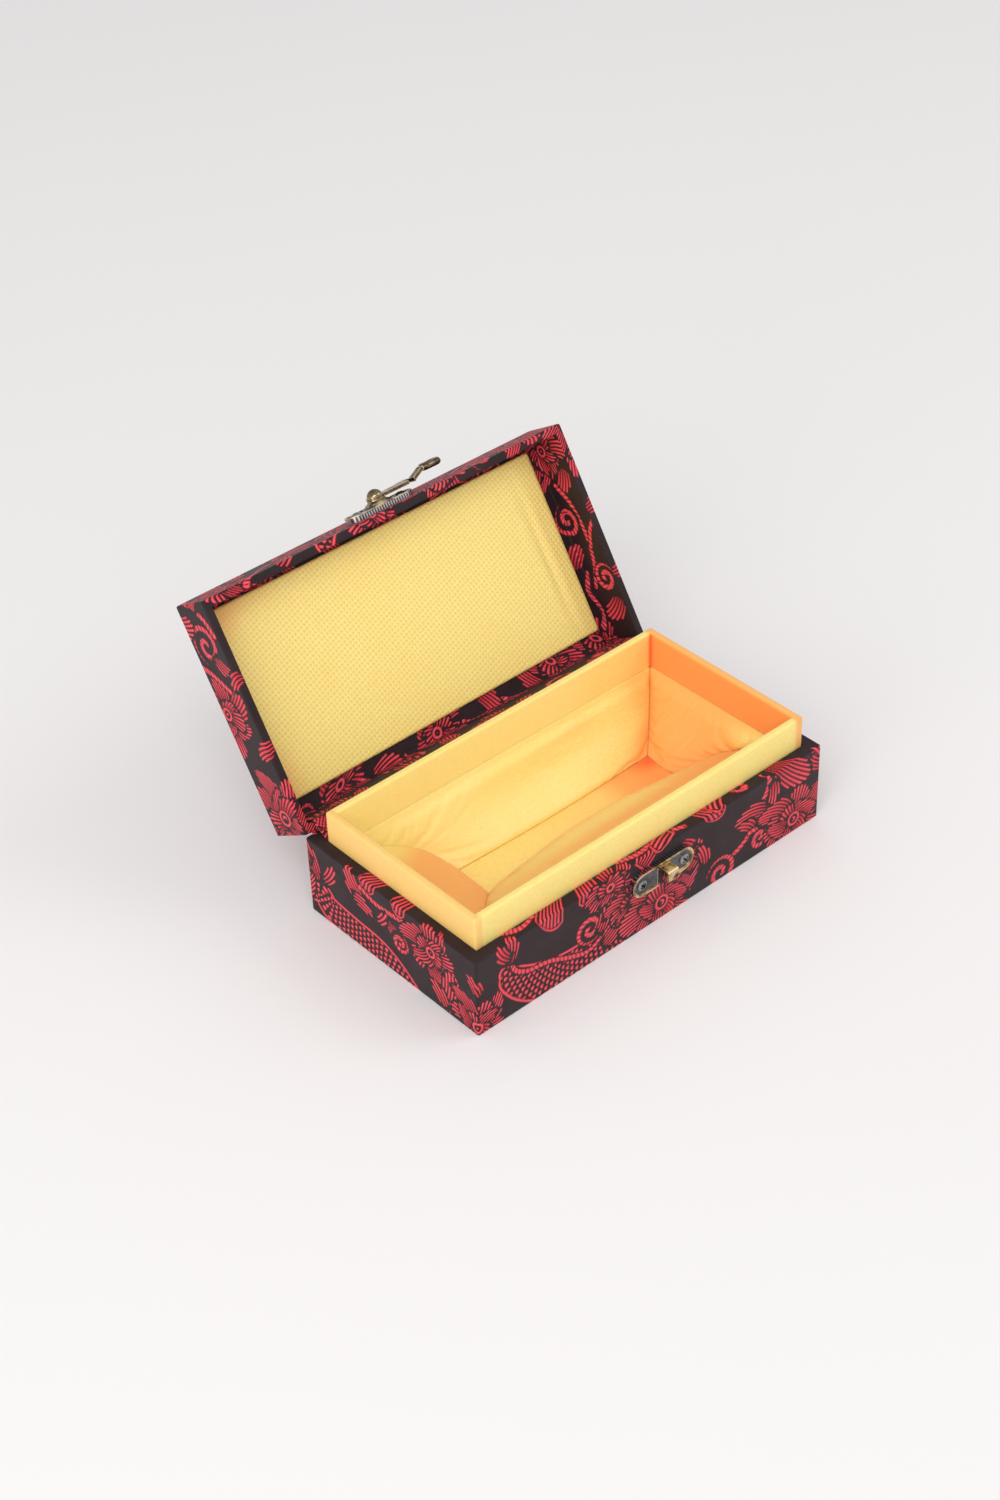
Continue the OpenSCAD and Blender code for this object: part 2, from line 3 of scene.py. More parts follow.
import bpy
import mathutils
import numpy as np
from bpy.props import FloatProperty, FloatVectorProperty, PointerProperty
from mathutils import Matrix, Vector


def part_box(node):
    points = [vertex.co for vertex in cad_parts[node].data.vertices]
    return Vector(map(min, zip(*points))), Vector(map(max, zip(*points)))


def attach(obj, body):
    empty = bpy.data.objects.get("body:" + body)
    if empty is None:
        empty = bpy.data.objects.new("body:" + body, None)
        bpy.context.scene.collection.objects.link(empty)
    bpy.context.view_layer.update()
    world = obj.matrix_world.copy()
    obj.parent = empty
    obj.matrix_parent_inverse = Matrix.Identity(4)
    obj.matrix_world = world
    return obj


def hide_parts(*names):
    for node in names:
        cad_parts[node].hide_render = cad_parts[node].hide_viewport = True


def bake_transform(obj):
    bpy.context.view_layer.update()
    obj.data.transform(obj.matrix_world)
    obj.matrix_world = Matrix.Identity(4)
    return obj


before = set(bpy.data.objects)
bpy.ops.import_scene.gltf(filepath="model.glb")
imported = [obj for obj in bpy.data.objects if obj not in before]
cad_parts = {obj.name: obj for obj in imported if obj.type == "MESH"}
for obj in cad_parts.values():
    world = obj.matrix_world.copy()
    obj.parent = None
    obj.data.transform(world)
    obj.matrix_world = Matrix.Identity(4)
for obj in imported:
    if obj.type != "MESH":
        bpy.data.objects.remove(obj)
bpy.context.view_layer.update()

bl_info = {
    "name": "Brocade Keepsake Box",
    "version": (1, 0, 0),
    "blender": (4, 5, 0),
    "location": "3D View > Sidebar > Keepsake Box",
    "description": "Brocade, satin and brass for a hinged keepsake box",
    "category": "Add Mesh",
}

MM = 0.001

# Millimetres: the hinge line above the lid's rim, and what a cover is thinner than in the
# CAD, to stay off the boards
HINGE_RISE = 0.1
CLEARANCE = 0.05
# Points in a profile's rounded corner, and steps round an upright corner
ROUND_POINTS = 6
CORNER_STEPS = 5
# Cloth, in millimetres, that either half of an upright corner takes
CORNER_CLOTH = 0.6


# Settings

def length(name, default, about):
    """A length in metres, given here in millimetres."""
    return FloatProperty(name=name, description=about, default=default * MM, min=0.0,
                         subtype="DISTANCE", unit="LENGTH", precision=5)


def colour(name, default, about):
    """A colour given as 0 to 255 screen values, kept as linear light."""
    share = np.array(default) / 255.0
    linear = np.where(share <= 0.04045, share / 12.92, ((share + 0.055) / 1.055) ** 2.4)
    return FloatVectorProperty(name=name, description=about, subtype="COLOR", size=3,
                               min=0.0, max=1.0, default=[float(c) for c in linear])


base_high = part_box("base_brocade_cover")[1]
neck_low, neck_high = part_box("neck_satin_cover")


class BoxSizes(bpy.types.PropertyGroup):
    """Sizes of the box and of its cloths"""
    box_length: length("Length", base_high.x / MM * 2, "Outside length of base and lid")
    box_depth: length("Depth", base_high.y / MM * 2, "Outside depth of base and lid")
    base_height: length("Base height", base_high.z / MM, "Height of the base's rim")
    lid_height: length("Lid height", 20.7, "Height of the lid from its rim to its top")
    rim_gap: length("Rim gap", 0.4, "Gap between the rims when the lid is shut")
    open_angle: FloatProperty(name="Open angle", description="Angle from shut to open",
                              default=math.radians(122), subtype="ANGLE", unit="ROTATION")
    edge_round: length("Edge round", 0.8, "Radius of the covered upright edges")
    cloth: length("Brocade", 0.5, "Thickness of the brocade")
    base_wall: length("Base wall", 4.8, "Thickness of the base's covered walls")
    lid_wall: length("Lid wall", 3.2, "Thickness of the lid's covered walls")
    grain: length("Design step", 0.54, "Spacing of the points that carry the woven design")


class ClothColours(bpy.types.PropertyGroup):
    """Colours of brocade and satin"""
    ground: colour("Brocade ground", (36, 21, 25), "Warp ground of the brocade")
    thread: colour("Brocade thread", (216, 42, 58), "Raised figure thread of the brocade")
    thread_painted_highlight: colour("Thread highlight", (248, 120, 134), "Painted highlight on the crests of the figure thread")
    satin: colour("Satin", (255, 243, 158), "Bright side of the lining satin")
    satin_deep: colour("Satin depth", (250, 212, 108), "Satin between its ribs")
    # Painted highlight: the palest satin, where it is lit
    satin_painted_highlight: colour("Satin in the light", (255, 250, 176), "Painted highlight where the satin is lit")
    # Painted shade: orange for the satin where it lies in shade and in orange bounce light
    satin_painted_shade: colour("Satin painted shade", (255, 178, 96), "Orange painted on the satin for shade and bounce light")
    # Painted shade: deep red-orange for the satin in its darkest corners
    satin_painted_corner_shade: colour("Satin corner shade", (248, 112, 60), "Red-orange painted shade deep in the satin's corners")
    backing: colour("Backing cloth", (34, 30, 30), "Plain cloth under the base")
    board: colour("Greyboard", (176, 160, 136), "Board of the carcass")


class BrassColours(bpy.types.PropertyGroup):
    """Colours of the hasp"""
    patina: colour("Patina", (78, 66, 56), "Dark antique finish")
    worn: colour("Worn brass", (222, 198, 152), "Edges rubbed bright")
    field: colour("Plate field", (104, 102, 104), "Sunk field of the plates")


class StageLook(bpy.types.PropertyGroup):
    """Floor, light and camera"""
    floor: colour("Floor", (240, 238, 239), "Pale floor")
    focal: FloatProperty(name="Focal length", description="Lens in millimetres on a "
                         "36 mm sensor", default=60.96, min=10.0)
    sky: FloatProperty(name="Room light", description="Strength of the room's light",
                       default=0.67, min=0.0)
    key: FloatProperty(name="Soft box", description="Power of the large soft box in watts",
                       default=24.8, min=0.0)


# Mesh tools

def turn_open(points, angle):
    """Turns shut-lid points to the open stand, about the hinge line: it runs along X at the
    box's back, just above the lid's rim."""
    s = bpy.context.scene.box_sizes
    y0, z0 = s.box_depth / MM / 2, (s.base_height + s.rim_gap) / MM + HINGE_RISE
    c, n = math.cos(-angle), math.sin(-angle)
    y, z = points[..., 1] - y0, points[..., 2] - z0
    return np.stack([points[..., 0], y0 + y * c - z * n, z0 + y * n + z * c], -1)


def grid_faces(rows, columns, wrap_rows=False, wrap_columns=False):
    """Quads between neighbours of a grid numbered row by row; a wrapped direction joins its
    last line to its first. A quad runs along the row first, so it faces row step x line step."""
    i, j = np.meshgrid(np.arange(rows - (not wrap_rows)),
                       np.arange(columns - (not wrap_columns)), indexing="ij")
    i2, j2 = (i + 1) % rows, (j + 1) % columns
    quads = np.stack([i * columns + j, i * columns + j2, i2 * columns + j2, i2 * columns + j],
                     -1).reshape(-1, 4)
    return quads, np.stack([j * 0, j2 < j, j2 < j, j * 0], -1).reshape(-1, 4)


def add_mesh(name, points, quads, caps=(), uv=None, lap=None, lap_u=0.0, fields=None):
    """Mesh object from points in millimetres, quads and many-sided caps. uv holds cloth
    millimetres for each point; corners marked in lap have passed the joining line, and their
    u is lap_u further on. fields are named numbers on the points."""
    mesh = bpy.data.meshes.new(name)
    places = points.reshape(-1, 3) * MM
    corners = np.concatenate([quads.reshape(-1)] + [np.asarray(c) for c in caps])
    counts = np.concatenate([np.full(len(quads), 4)] + [[len(c)] for c in caps]).astype(int)
    mesh.vertices.add(len(places))
    mesh.vertices.foreach_set("co", places.reshape(-1).astype(np.float32))
    mesh.loops.add(len(corners))
    mesh.loops.foreach_set("vertex_index", corners.astype(np.int32))
    mesh.polygons.add(len(counts))
    starts = np.concatenate([[0], np.cumsum(counts)[:-1]]).astype(np.int32)
    mesh.polygons.foreach_set("loop_start", starts)
    mesh.update(calc_edges=True)
    mesh.polygons.foreach_set("use_smooth", np.ones(len(counts), bool))
    if uv is not None:
        layer = mesh.uv_layers.new(name="cloth")
        at = uv.reshape(-1, 2)[corners] * MM
        if lap is not None:
            at[:lap.size, 0] += lap.reshape(-1) * lap_u * MM
        layer.data.foreach_set("uv", at.reshape(-1).astype(np.float32))
    for key, value in (fields or {}).items():
        layer = mesh.attributes.new(key, "FLOAT", "POINT")
        layer.data.foreach_set("value", value.reshape(-1).astype(np.float32))
    mesh.validate()
    piece = bpy.data.objects.new(name, mesh)
    bpy.context.scene.collection.objects.link(piece)
    return piece


def closed_sheet(name, points, uv, fields, outward=True):
    """Sheet whose rows close on themselves, with a many-sided cap on either end. The faces
    are turned round where outward is false."""
    rows, columns = points.shape[:2]
    quads, _ = grid_faces(rows, columns, True, False)
    first = np.arange(rows) * columns
    caps = [first, (first + columns - 1)[::-1]]
    if not outward:
        quads, caps = quads[:, ::-1], [cap[::-1] for cap in caps]
    return add_mesh(name, points, quads, caps=caps, uv=uv, fields=fields)


def backed(face, height):
    """The face with its first and last rows repeated at this height, before and after it, so
    that its rows can close on themselves."""
    ends = face[[0, -1]]
    ends[..., 2] = height
    return np.concatenate([ends[:1], face, ends[1:]])


def finish_with(piece, material):
    """Gives a piece or a CAD node its one material."""
    piece.data.materials.clear()
    piece.data.materials.append(material)


def dress(piece, body, slot, material, *nodes):
    """Gives a piece its body and material, and lets it stand for CAD nodes. The slot is not
    used.
    """
    finish_with(piece, material)
    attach(piece, body)
    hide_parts(*nodes)


def closed_profile(corners):
    """Closed profile through corners (inset, height, rounding, step). A right-angled corner
    with a rounding becomes a quarter circle, and the stretch after it is cut at its step."""
    at = np.array([c[:2] for c in corners], float)
    back = np.roll(at, 1, 0) - at
    ahead = np.roll(at, -1, 0) - at
    run = np.linalg.norm(ahead, axis=1)
    back /= np.linalg.norm(back, axis=1)[:, None]
    ahead /= run[:, None]
    points = []
    for i, (_, _, rounding, step) in enumerate(corners):
        after = corners[(i + 1) % len(corners)][2]
        if rounding:
            t = np.linspace(0, math.pi / 2, ROUND_POINTS)[:, None]
            points.append(at[i] + rounding * (back[i] * (1 - np.sin(t))
                                              + ahead[i] * (1 - np.cos(t))))
        else:
            points.append(at[i:i + 1])
        straight = run[i] - rounding - after
        n = max(1, math.ceil(straight / step))
        cuts = np.arange(1, n)[:, None] / n
        points.append(at[i] + ahead[i] * (rounding + straight * cuts))
    line = np.concatenate(points)
    travelled = np.concatenate([[0], np.cumsum(np.linalg.norm(np.diff(line, axis=0), axis=1))])
    return line, travelled


def ring_columns(half_x, half_y, step):
    """Columns round a rectangle, from its back left corner, left side first: each one's place
    on the core rectangle from -1 to 1, the angle it faces, and its distance along, and last
    the distance all round."""
    place, angle, along = [], [], []
    start = 0.0
    sides = (((-1, 1), (-1, -1), half_y), ((-1, -1), (1, -1), half_x),
             ((1, -1), (1, 1), half_y), ((1, 1), (-1, 1), half_x))
    for side, (a, b, half) in enumerate(sides):
        a, b = np.array(a, float), np.array(b, float)
        t = np.linspace(0, 1, math.ceil(2 * half / step) + 1)
        facing = math.pi + side * math.pi / 2
        arc = np.arange(1, CORNER_STEPS) / CORNER_STEPS
        place += [a + (b - a) * t[:, None], np.repeat(b[None], len(arc), 0)]
        angle += [np.full(len(t), facing), facing + arc * math.pi / 2]
        along += [start + CORNER_CLOTH + t * (2 * half - 2 * CORNER_CLOTH),
                  start + 2 * half - CORNER_CLOTH + 2 * CORNER_CLOTH * arc]
        start += 2 * half
    return np.concatenate(place), np.concatenate(angle), np.concatenate(along), start


def swept_ring(line, columns, half_x, half_y, centre_y, corner, least=0.08):
    """Carries a profile (inset, height) round a rectangle. At inset d the corner's radius is
    corner - d, but never under least, and the core rectangle shrinks to suit."""
    place, angle, _, _ = columns
    inset, height = line[:, :1], line[:, 1:]
    radius = np.maximum(corner - inset, least)
    x = place[:, 0] * (half_x - inset - radius) + np.cos(angle) * radius
    y = place[:, 1] * (half_y - inset - radius) + np.sin(angle) * radius + centre_y
    return np.stack([x, y, height + 0 * x], -1)


def ring_sheet(name, points, columns, travelled, fields):
    """Sheet from the points of a swept ring: its cloth runs u along the ring and v along the
    profile."""
    u = np.broadcast_to(columns[2], points.shape[:2])
    v = np.broadcast_to(travelled[:, None], u.shape)
    quads, lap = grid_faces(*u.shape, True, True)
    return add_mesh(name, points, quads, uv=np.stack([u, v], -1), lap=lap, lap_u=columns[3],
                    fields=fields)


# Woven design

ROPE = (2.1, 0.88)  # pitch of a rope's strands, half a strand's width
SCALES = (2.3, 2.6)  # pitch of a band's scales along it and across it
PATH_REACH = 9  # a path's figure is worked out this far past its knots
FIGURE_REACH = 2.3  # and another figure this many times its size from its middle
GROUND_LINE = -0.45  # depth of the dark line kept round a figure

def strokes(q, pitch, half):
    """Signed distance into a row of parallel strokes: half less the distance to the nearest."""
    return half - np.abs(q / pitch - np.round(q / pitch)) * pitch


def smooth_line(knots, cuts=8):
    """Points of a Catmull-Rom curve through the knots."""
    k = np.array(knots, float)
    k = np.concatenate([2 * k[:1] - k[1:2], k, 2 * k[-1:] - k[-2:-1]])
    t = np.linspace(0, 1, cuts, endpoint=False)[:, None, None]
    a, b, c, d = k[:-3], k[1:-2], k[2:-1], k[3:]
    p = 0.5 * (2 * b + (c - a) * t + (2 * a - 5 * b + 4 * c - d) * t ** 2
               + (3 * b - a - 3 * c + d) * t ** 3)
    return np.concatenate([p.transpose(1, 0, 2).reshape(-1, 2), k[-2:-1]])


def along_line(x, y, line):
    """Distance travelled along a line to the point nearest to (x, y), and the signed distance
    from it, found over every stretch of the line at once."""
    a, b = line[:-1], line[1:]
    d = b - a
    run = np.linalg.norm(d, axis=1)
    start = np.concatenate([[0], np.cumsum(run)[:-1]])
    px, py = x[:, None] - a[:, 0], y[:, None] - a[:, 1]
    t = np.clip((px * d[:, 0] + py * d[:, 1]) / run ** 2, 0, 1)
    off = np.hypot(px - t * d[:, 0], py - t * d[:, 1])
    near = off.argmin(1)
    i = np.arange(len(x))
    side = np.sign(d[near, 0] * py[i, near] - d[near, 1] * px[i, near])
    return start[near] + t[i, near] * run[near], off[i, near] * side, run.sum()


def fan(x, y, size, count, flare=0.4, bend=0.3):
    """Petal of count round-ended fingers side by side along +x. They widen towards their ends
    by flare, bend to the left by bend, and the outer ones are shorter."""
    t = np.clip(x / size, 0, 1)
    v = y - bend * x * np.abs(x) / size
    pitch = 2.0 * (1 - flare + flare * t)
    middle = (count - 1) / 2
    k = np.clip(np.round(v / pitch + middle), 0, count - 1) - middle
    lean = (np.abs(k) / max(middle, 1)) ** 2
    wide = np.maximum(0.5 * pitch - 0.29, 0.3)
    over = np.maximum(np.maximum(x - size * (1 - 0.3 * lean) + wide, 0.14 * size * lean - x), 0)
    edge = count / 2 * pitch - np.abs(v)
    hull = np.minimum(edge, np.minimum(size * (1 - 0.3 * np.clip(np.abs(v) / np.maximum(
        count / 2 * pitch, 0.1), 0, 1) ** 2) - x, x + 0.6))
    return hull, wide - np.hypot(v - k * pitch, over)


def petal(x, y, size, count, flare=0.4, bend=0.3):
    """Fan of fingers inside a contour line."""
    hull, fingers = fan(x, y, size, count, flare, bend)
    return hull, np.maximum(np.minimum(fingers, hull - 1.3), 0.5 - np.abs(hull - 0.5))


def blossom(x, y, size, petals):
    """Full flower: outer petals that overlap, a ring of smaller ones that bend the other way,
    and a curled heart, every petal a fan of fingers."""
    field, hull = np.full(x.shape, -1.0), np.full(x.shape, -9.0)
    outer = max(3, int(round(5.0 * size / petals / 1.75)))
    rings = ((petals, 0.36, 0.72, outer, 0.45, 0.35, 0.0),
             (max(4, petals - 2), 0.10, 0.52, max(3, outer - 1), 0.5, -0.4, 0.5))
    for number, ring, long, count, flare, bend, shift in rings:
        for i in range(number):
            turn = (i + shift + 0.22 * math.sin(5.3 * i + size)) * 2 * math.pi / number
            c, s = math.cos(turn), math.sin(turn)
            u, v = x * c + y * s - ring * size, y * c - x * s
            uneven = math.sin(3.7 * i + 2 * size)
            cover, new = fan(u, v, long * size * (1 + 0.2 * uneven), count + (uneven > 0.4),
                             flare, bend * (1 + 0.8 * math.cos(2.9 * i)))
            field = np.where(cover > -0.35, new, field)
            hull = np.maximum(hull, cover)
    heart = 0.2 * size - np.hypot(x - 0.05 * size, y)
    return hull, np.where(heart > -0.35, strokes(heart - 0.6, 2.0, 0.62), field)


def leaf(x, y, size, bend):
    """Pointed leaf from the origin along +x: a middle gap and slanting veins with a rim."""
    y = y - bend * x * (2 * size - x) / size * 0.5
    t = np.clip(x / (2 * size), 0, 1)
    half = 0.52 * size * np.sin(math.pi * t) ** 0.8
    inside = np.where((x > 0) & (x < 2 * size), half - np.abs(y), -1)
    veins = np.minimum(strokes(x - 0.9 * np.abs(y), 1.8, 0.58), np.abs(y) - 0.25)
    rim = 0.5 - np.abs(inside - 0.5)
    return inside, np.maximum(np.minimum(veins, inside - 0.1), rim)


def curl(x, y, size, turns):
    """Rope that winds in from radius size to the middle."""
    r, a = np.hypot(x, y), np.arctan2(y, x)
    pitch = size / turns
    share = (size - r) / pitch + a / (2 * math.pi)
    off = np.abs(share - np.round(share)) * pitch
    lap = np.round(share) - a / (2 * math.pi)
    field = np.where((lap > -0.5) & (lap < turns), min(1.2, pitch * 0.37) - off, -1)
    field = np.minimum(field, strokes(a * r, *ROPE))
    return size + 1.2 - r, np.minimum(field, size + 1.1 - r)


def vine(x, y, knots, width):
    """Rope along a curve, with slanting cuts between its strands."""
    s, t, _ = along_line(x, y, smooth_line(knots))
    inside = width / 2 - np.abs(t)
    return inside, np.minimum(inside, strokes(s + 0.7 * t, *ROPE))


def scaled_band(x, y, knots, width, tail=0.35):
    """Sinuous band along a curve: rope outlines and rows of staggered scales between them. It
    narrows to tail times its width at both ends."""
    s, t, total = along_line(x, y, smooth_line(knots))
    half = width / 2 * (tail + (1 - tail) * np.sin(math.pi * np.clip(s / total, 0, 1)) ** 0.6)
    inside = half - np.abs(t)
    long, wide = SCALES
    row = np.round(s / long)
    cell_t = t / wide + 0.5 * (row % 2)
    ct, cs = (cell_t - np.round(cell_t)) * wide, s - row * long
    scales = 0.88 - np.hypot(ct * 0.82, (cs - 0.45 * np.abs(ct)) * 1.1)
    rim = 0.62 - np.abs(inside - 0.62)
    return inside, np.maximum(np.minimum(scales, inside - 1.5), rim)


FIGURES = {"blossom": blossom, "fan": fan, "petal": petal, "leaf": leaf, "curl": curl}
PATHS = {"vine": vine, "band": scaled_band}


def woven_design(u, v, figures, period=0.0):
    """Height of the figure thread over cloth coordinates in millimetres: positive in a thread
    and negative on the ground. Later figures lie over earlier ones, with a dark line round
    them. period repeats the design along u."""
    field = np.full(u.shape, -1.0)
    shifts = (-period, 0, period) if period else (0,)
    for figure in figures:
        kind = figure[0]
        for shift in shifts:
            if kind in PATHS:
                knots = np.array(figure[1], float)
                low, high = knots.min(0) - PATH_REACH, knots.max(0) + PATH_REACH
                x, y = u - shift, v
                near = (x > low[0]) & (x < high[0]) & (y > low[1]) & (y < high[1])
                if not near.any():
                    continue
                hull, new = PATHS[kind](x[near], y[near], knots, *figure[2:])
            else:
                _, cu, cv, size, turn = figure[:5]
                x, y = u - cu - shift, v - cv
                near = np.maximum(np.abs(x), np.abs(y)) < FIGURE_REACH * size
                if not near.any():
                    continue
                c, s = math.cos(math.radians(turn)), math.sin(math.radians(turn))
                x, y = x[near], y[near]
                hull, new = FIGURES[kind](x * c + y * s, y * c - x * s, size, *figure[5:])
            field[near] = np.where(hull > GROUND_LINE, np.maximum(new, -1), field[near])
    return np.clip(field, -1, 1)


# Each figure is its kind, its middle (u, v), its size, its turn in degrees, and what its
# function takes after the size. A path is its kind, its knots, and what its function takes
# after them.
#
# Cloth round the base: u from the back left corner over left side and front, v upward. The
# same stretch comes again over right side and back.
BASE_STRIP = 261.0
BASE_DESIGN = (
    ("band", [(-10, 2), (-2, 10), (6, 12), (12, 7), (26, 5), (42, 4), (58, -3)], 15.0, 0.5),
    ("fan", 5, 17, 19, 100, 5),
    ("fan", 9, 19, 11, 40, 4),
    ("fan", 2, 24, 12, 160, 4, 0.4, -0.3),
    ("fan", 31, 21, 16, 140, 5, 0.3, -0.3),
    ("fan", 26, 22, 10, 10, 4, 0.3, -0.4),
    ("petal", 38, 43, 15, 235, 6, 0.35, 0.2),
    ("vine", [(30, 29), (38, 26.6), (47, 27), (57, 28)], 2.3),
    ("fan", 45, 23, 11, -62, 4, 0.4, 0.5),
    ("curl", 51, 16.5, 3.4, 250, 1.2),
    ("fan", 39, 19, 8, 35, 3, 0.3, 0.3),
    ("petal", 54, 42, 14, 240, 5, 0.35, 0.2),
    ("blossom", 67, 22.5, 12.5, 40, 6),
    ("vine", [(79, 20), (81, 17), (80, 14)], 2.2),
    ("fan", 74, 1, 19, 62, 6, 0.35, 0.3),
    ("fan", 74, 2, 11, 110, 4, 0.3, 0.3),
    ("blossom", 90, 3, 13, 15, 7),
    ("fan", 92, 18, 9, 100, 4, 0.4, 0.4),
    ("band", [(104, 21), (107, 16), (116, 9), (130, 4), (146, 4), (160, 7), (172, 6)], 19.0,
     0.35),
    ("vine", [(107, 27), (108, 20), (114, 15.5), (124, 13.5), (134, 9), (143, 6.5), (152, 11),
              (160, 15)], 2.1),
    ("fan", 106, 24, 12, 70, 5, 0.5, 0.3),
    ("fan", 106, 26, 9, 145, 4, 0.4, -0.4),
    ("vine", [(100, 40), (112, 36), (122, 38.5), (131, 36)], 2.2),
    ("petal", 128, 41, 14, 240, 8, 0.35, 0.3),
    ("petal", 142, 41, 12, 290, 6, 0.35, -0.3),
    ("blossom", 153, 29, 10.5, 30, 6),
    ("curl", 143.5, 16, 5.4, 160, 1.3),
    ("fan", 148, 12, 10, 50, 4, 0.4, 0.4),
    ("fan", 150, 5, 12, 20, 5, 0.4, 0.4),
    ("blossom", 163, 16, 10, 10, 6),
    ("blossom", 178, 7, 17, 10, 7),
    ("petal", 168, 30, 14, 40, 6, 0.35, 0.3),
    ("vine", [(160, 38), (170, 36), (182, 38), (192, 35.5)], 2.2),
    ("petal", 186, 38, 12, 190, 5, 0.35, 0.2),
    ("fan", 188, 28, 11, -30, 5, 0.4, -0.3),
    ("fan", 192, 14, 13, 45, 4),
    ("fan", 194, 22, 12, -25, 4, 0.4, -0.4),
    ("fan", 201, 12, 10, 85, 4, 0.4, 0.4),
    ("petal", 202, 42, 14, 285, 6, 0.35, 0.2),
    ("petal", 214, 41, 11, 200, 5, 0.35, 0.3),
    ("curl", 222, 38, 3.4, 0, 1.1),
    ("vine", [(234, 36), (233, 29), (229, 22), (225, 14), (219, 9), (213, 7)], 2.5),
    ("fan", 232, 19, 15, 150, 6, 0.4, 0.4),
    ("fan", 226, 14, 9, 120, 4, 0.4, 0.5),
    ("curl", 209, 3, 6.4, 30, 1.4),
    ("curl", 229.5, 8, 3.8, 250, 1.1),
    ("vine", [(224, 13), (232, 13), (239, 11)], 2.3),
    ("fan", 238, 38, 23, -52, 8, 0.4, 0.15),
    ("fan", 236, 30, 11, -75, 4, 0.4, -0.3),
    ("blossom", 247, 6, 16, 10, 7),
)
# Cloth round the lid's walls: u as above, v from the rim up
LID_DESIGN = (
    ("blossom", 6, 9, 17, 0, 8),
    ("blossom", 48, 17, 14, 20, 7),
    ("vine", [(57, 8), (62, 13), (66, 18), (68, 23)], 2.4),
    ("curl", 75, 10.5, 7.2, 10, 1.4),
    ("fan", 70, 8, 11, 200, 4, 0.4, 0.4),
    ("fan", 62, -3, 9, 100, 4),
    ("fan", 33, -3, 10, 80, 5),
    ("vine", [(78, 2), (85, 5), (91, 12), (94, 22)], 2.4),
    ("fan", 84, 24, 10, 250, 6, 0.4, 0.2),
    ("blossom", 102, 6, 12, 30, 6),
    ("fan", 110, 12, 13, 30, 5, 0.4, 0.4),
    ("vine", [(108, -2), (116, 4), (124, 9), (132, 8), (140, 4)], 2.3),
    ("curl", 134, 14, 6.0, 40, 1.3),
    ("fan", 124, 0, 11, 20, 5, 0.4, 0.4),
    ("band", [(143, -4), (150, 6), (162, 13), (176, 10), (190, 15), (202, 24)], 14.0),
    ("fan", 146, 6, 14, 110, 6),
    ("blossom", 168, 2, 12, 0, 6),
    ("fan", 180, 2, 12, 25, 5, 0.4, -0.3),
    ("blossom", 203, 7, 14, 15, 7),
    ("vine", [(212, 9), (220, 14), (228, 11), (234, 4)], 2.3),
    ("curl", 222, 4, 5.4, 90, 1.3),
    ("blossom", 244, 11, 15, 30, 7),
    ("fan", 226, 24, 12, -70, 6),
)
# Cloth inside the lid: u round the walls from the back left corner, v from the rim
INNER_STRIP = 248.2
INNER_DESIGN = (
    ("band", [(94, 2), (108, 9), (126, 5), (144, 10), (162, 6)], 12.0),
    ("blossom", 88, 21, 11, 0, 6),
    ("blossom", 112, 22, 11, 0, 6),
    ("fan", 124, 14, 12, 50, 5, 0.4, 0.4),
    ("vine", [(134, 13), (144, 19), (154, 15), (164, 19)], 1.9),
    ("fan", 150, 26, 12, 230, 6),
    ("blossom", 174, 19, 12, 20, 6),
    ("fan", 186, 8, 14, 30, 6),
    ("vine", [(196, 3), (206, 9), (214, 5), (226, 10), (238, 7)], 1.9),
    ("fan", 206, 15, 13, 150, 6),
    ("blossom", 222, 20, 11, 10, 6),
    ("curl", 240, 14, 5.4, 20, 1.3),
    ("fan", 232, 4, 10, 60, 5),
    ("blossom", 5, 14, 13, 0, 7),
    ("fan", 14, 5, 11, 15, 5),
    ("vine", [(20, 14), (28, 9), (40, 7), (52, 9), (62, 14)], 2.3),
    ("curl", 34, 15, 5.5, 0, 1.3),
    ("vine", [(36, 0), (40, 4), (46, 7)], 2.1),
    ("curl", 59, 5.5, 5.0, 90, 1.3),
    ("fan", 54, 22, 12, 200, 6),
    ("vine", [(56, 16), (64, 19), (72, 16), (80, 19)], 2.1),
    ("fan", 68, 2, 13, 40, 6),
)
# Cloth over the lid's top: x along, y from front to back, from the middle
TOP_DESIGN = (
    ("band", [(-88, -20), (-66, -6), (-44, -14), (-20, -30), (4, -22), (22, -4), (44, 4)], 19.0),
    ("fan", 42, 4, 18, 30, 7),
    ("fan", 40, 2, 13, 110, 5),
    ("blossom", -34, 12, 17, 0, 8),
    ("blossom", -68, 27, 16, 20, 8),
    ("blossom", 58, -25, 18, 30, 8),
    ("blossom", 14, 25, 17, 0, 8),
    ("blossom", -50, -37, 14, 0, 7),
    ("blossom", 20, -42, 13, 0, 7),
    ("curl", -8, 4, 7.4, 60, 1.5),
    ("vine", [(-48, 16), (-56, 8), (-70, 6), (-84, 14)], 2.4),
    ("vine", [(-22, 18), (-10, 26), (2, 20)], 2.4),
    ("fan", -16, 34, 13, 40, 6),
    ("leaf", 30, 14, 8, -10, 0.3),
    ("curl", 42, 33, 7.4, 200, 1.5),
    ("vine", [(28, 34), (44, 20), (60, 22), (72, 32)], 2.4),
    ("blossom", 75, 34, 16, 60, 8),
    ("curl", 72, 6, 6.8, 90, 1.4),
    ("vine", [(64, -12), (70, -4), (80, 2), (92, -2)], 2.4),
    ("blossom", 85, -18, 13, 0, 6),
    ("fan", 38, -38, 15, 160, 6),
    ("fan", -86, -34, 15, 40, 6),
    ("curl", -24, -41, 6.4, 30, 1.4),
    ("fan", -90, -2, 15, 20, 6),
    ("blossom", -32, 46, 12, 0, 6),
    ("fan", 2, -12, 12, 250, 5),
    ("fan", 82, 22, 13, 290, 5),
)


# Materials

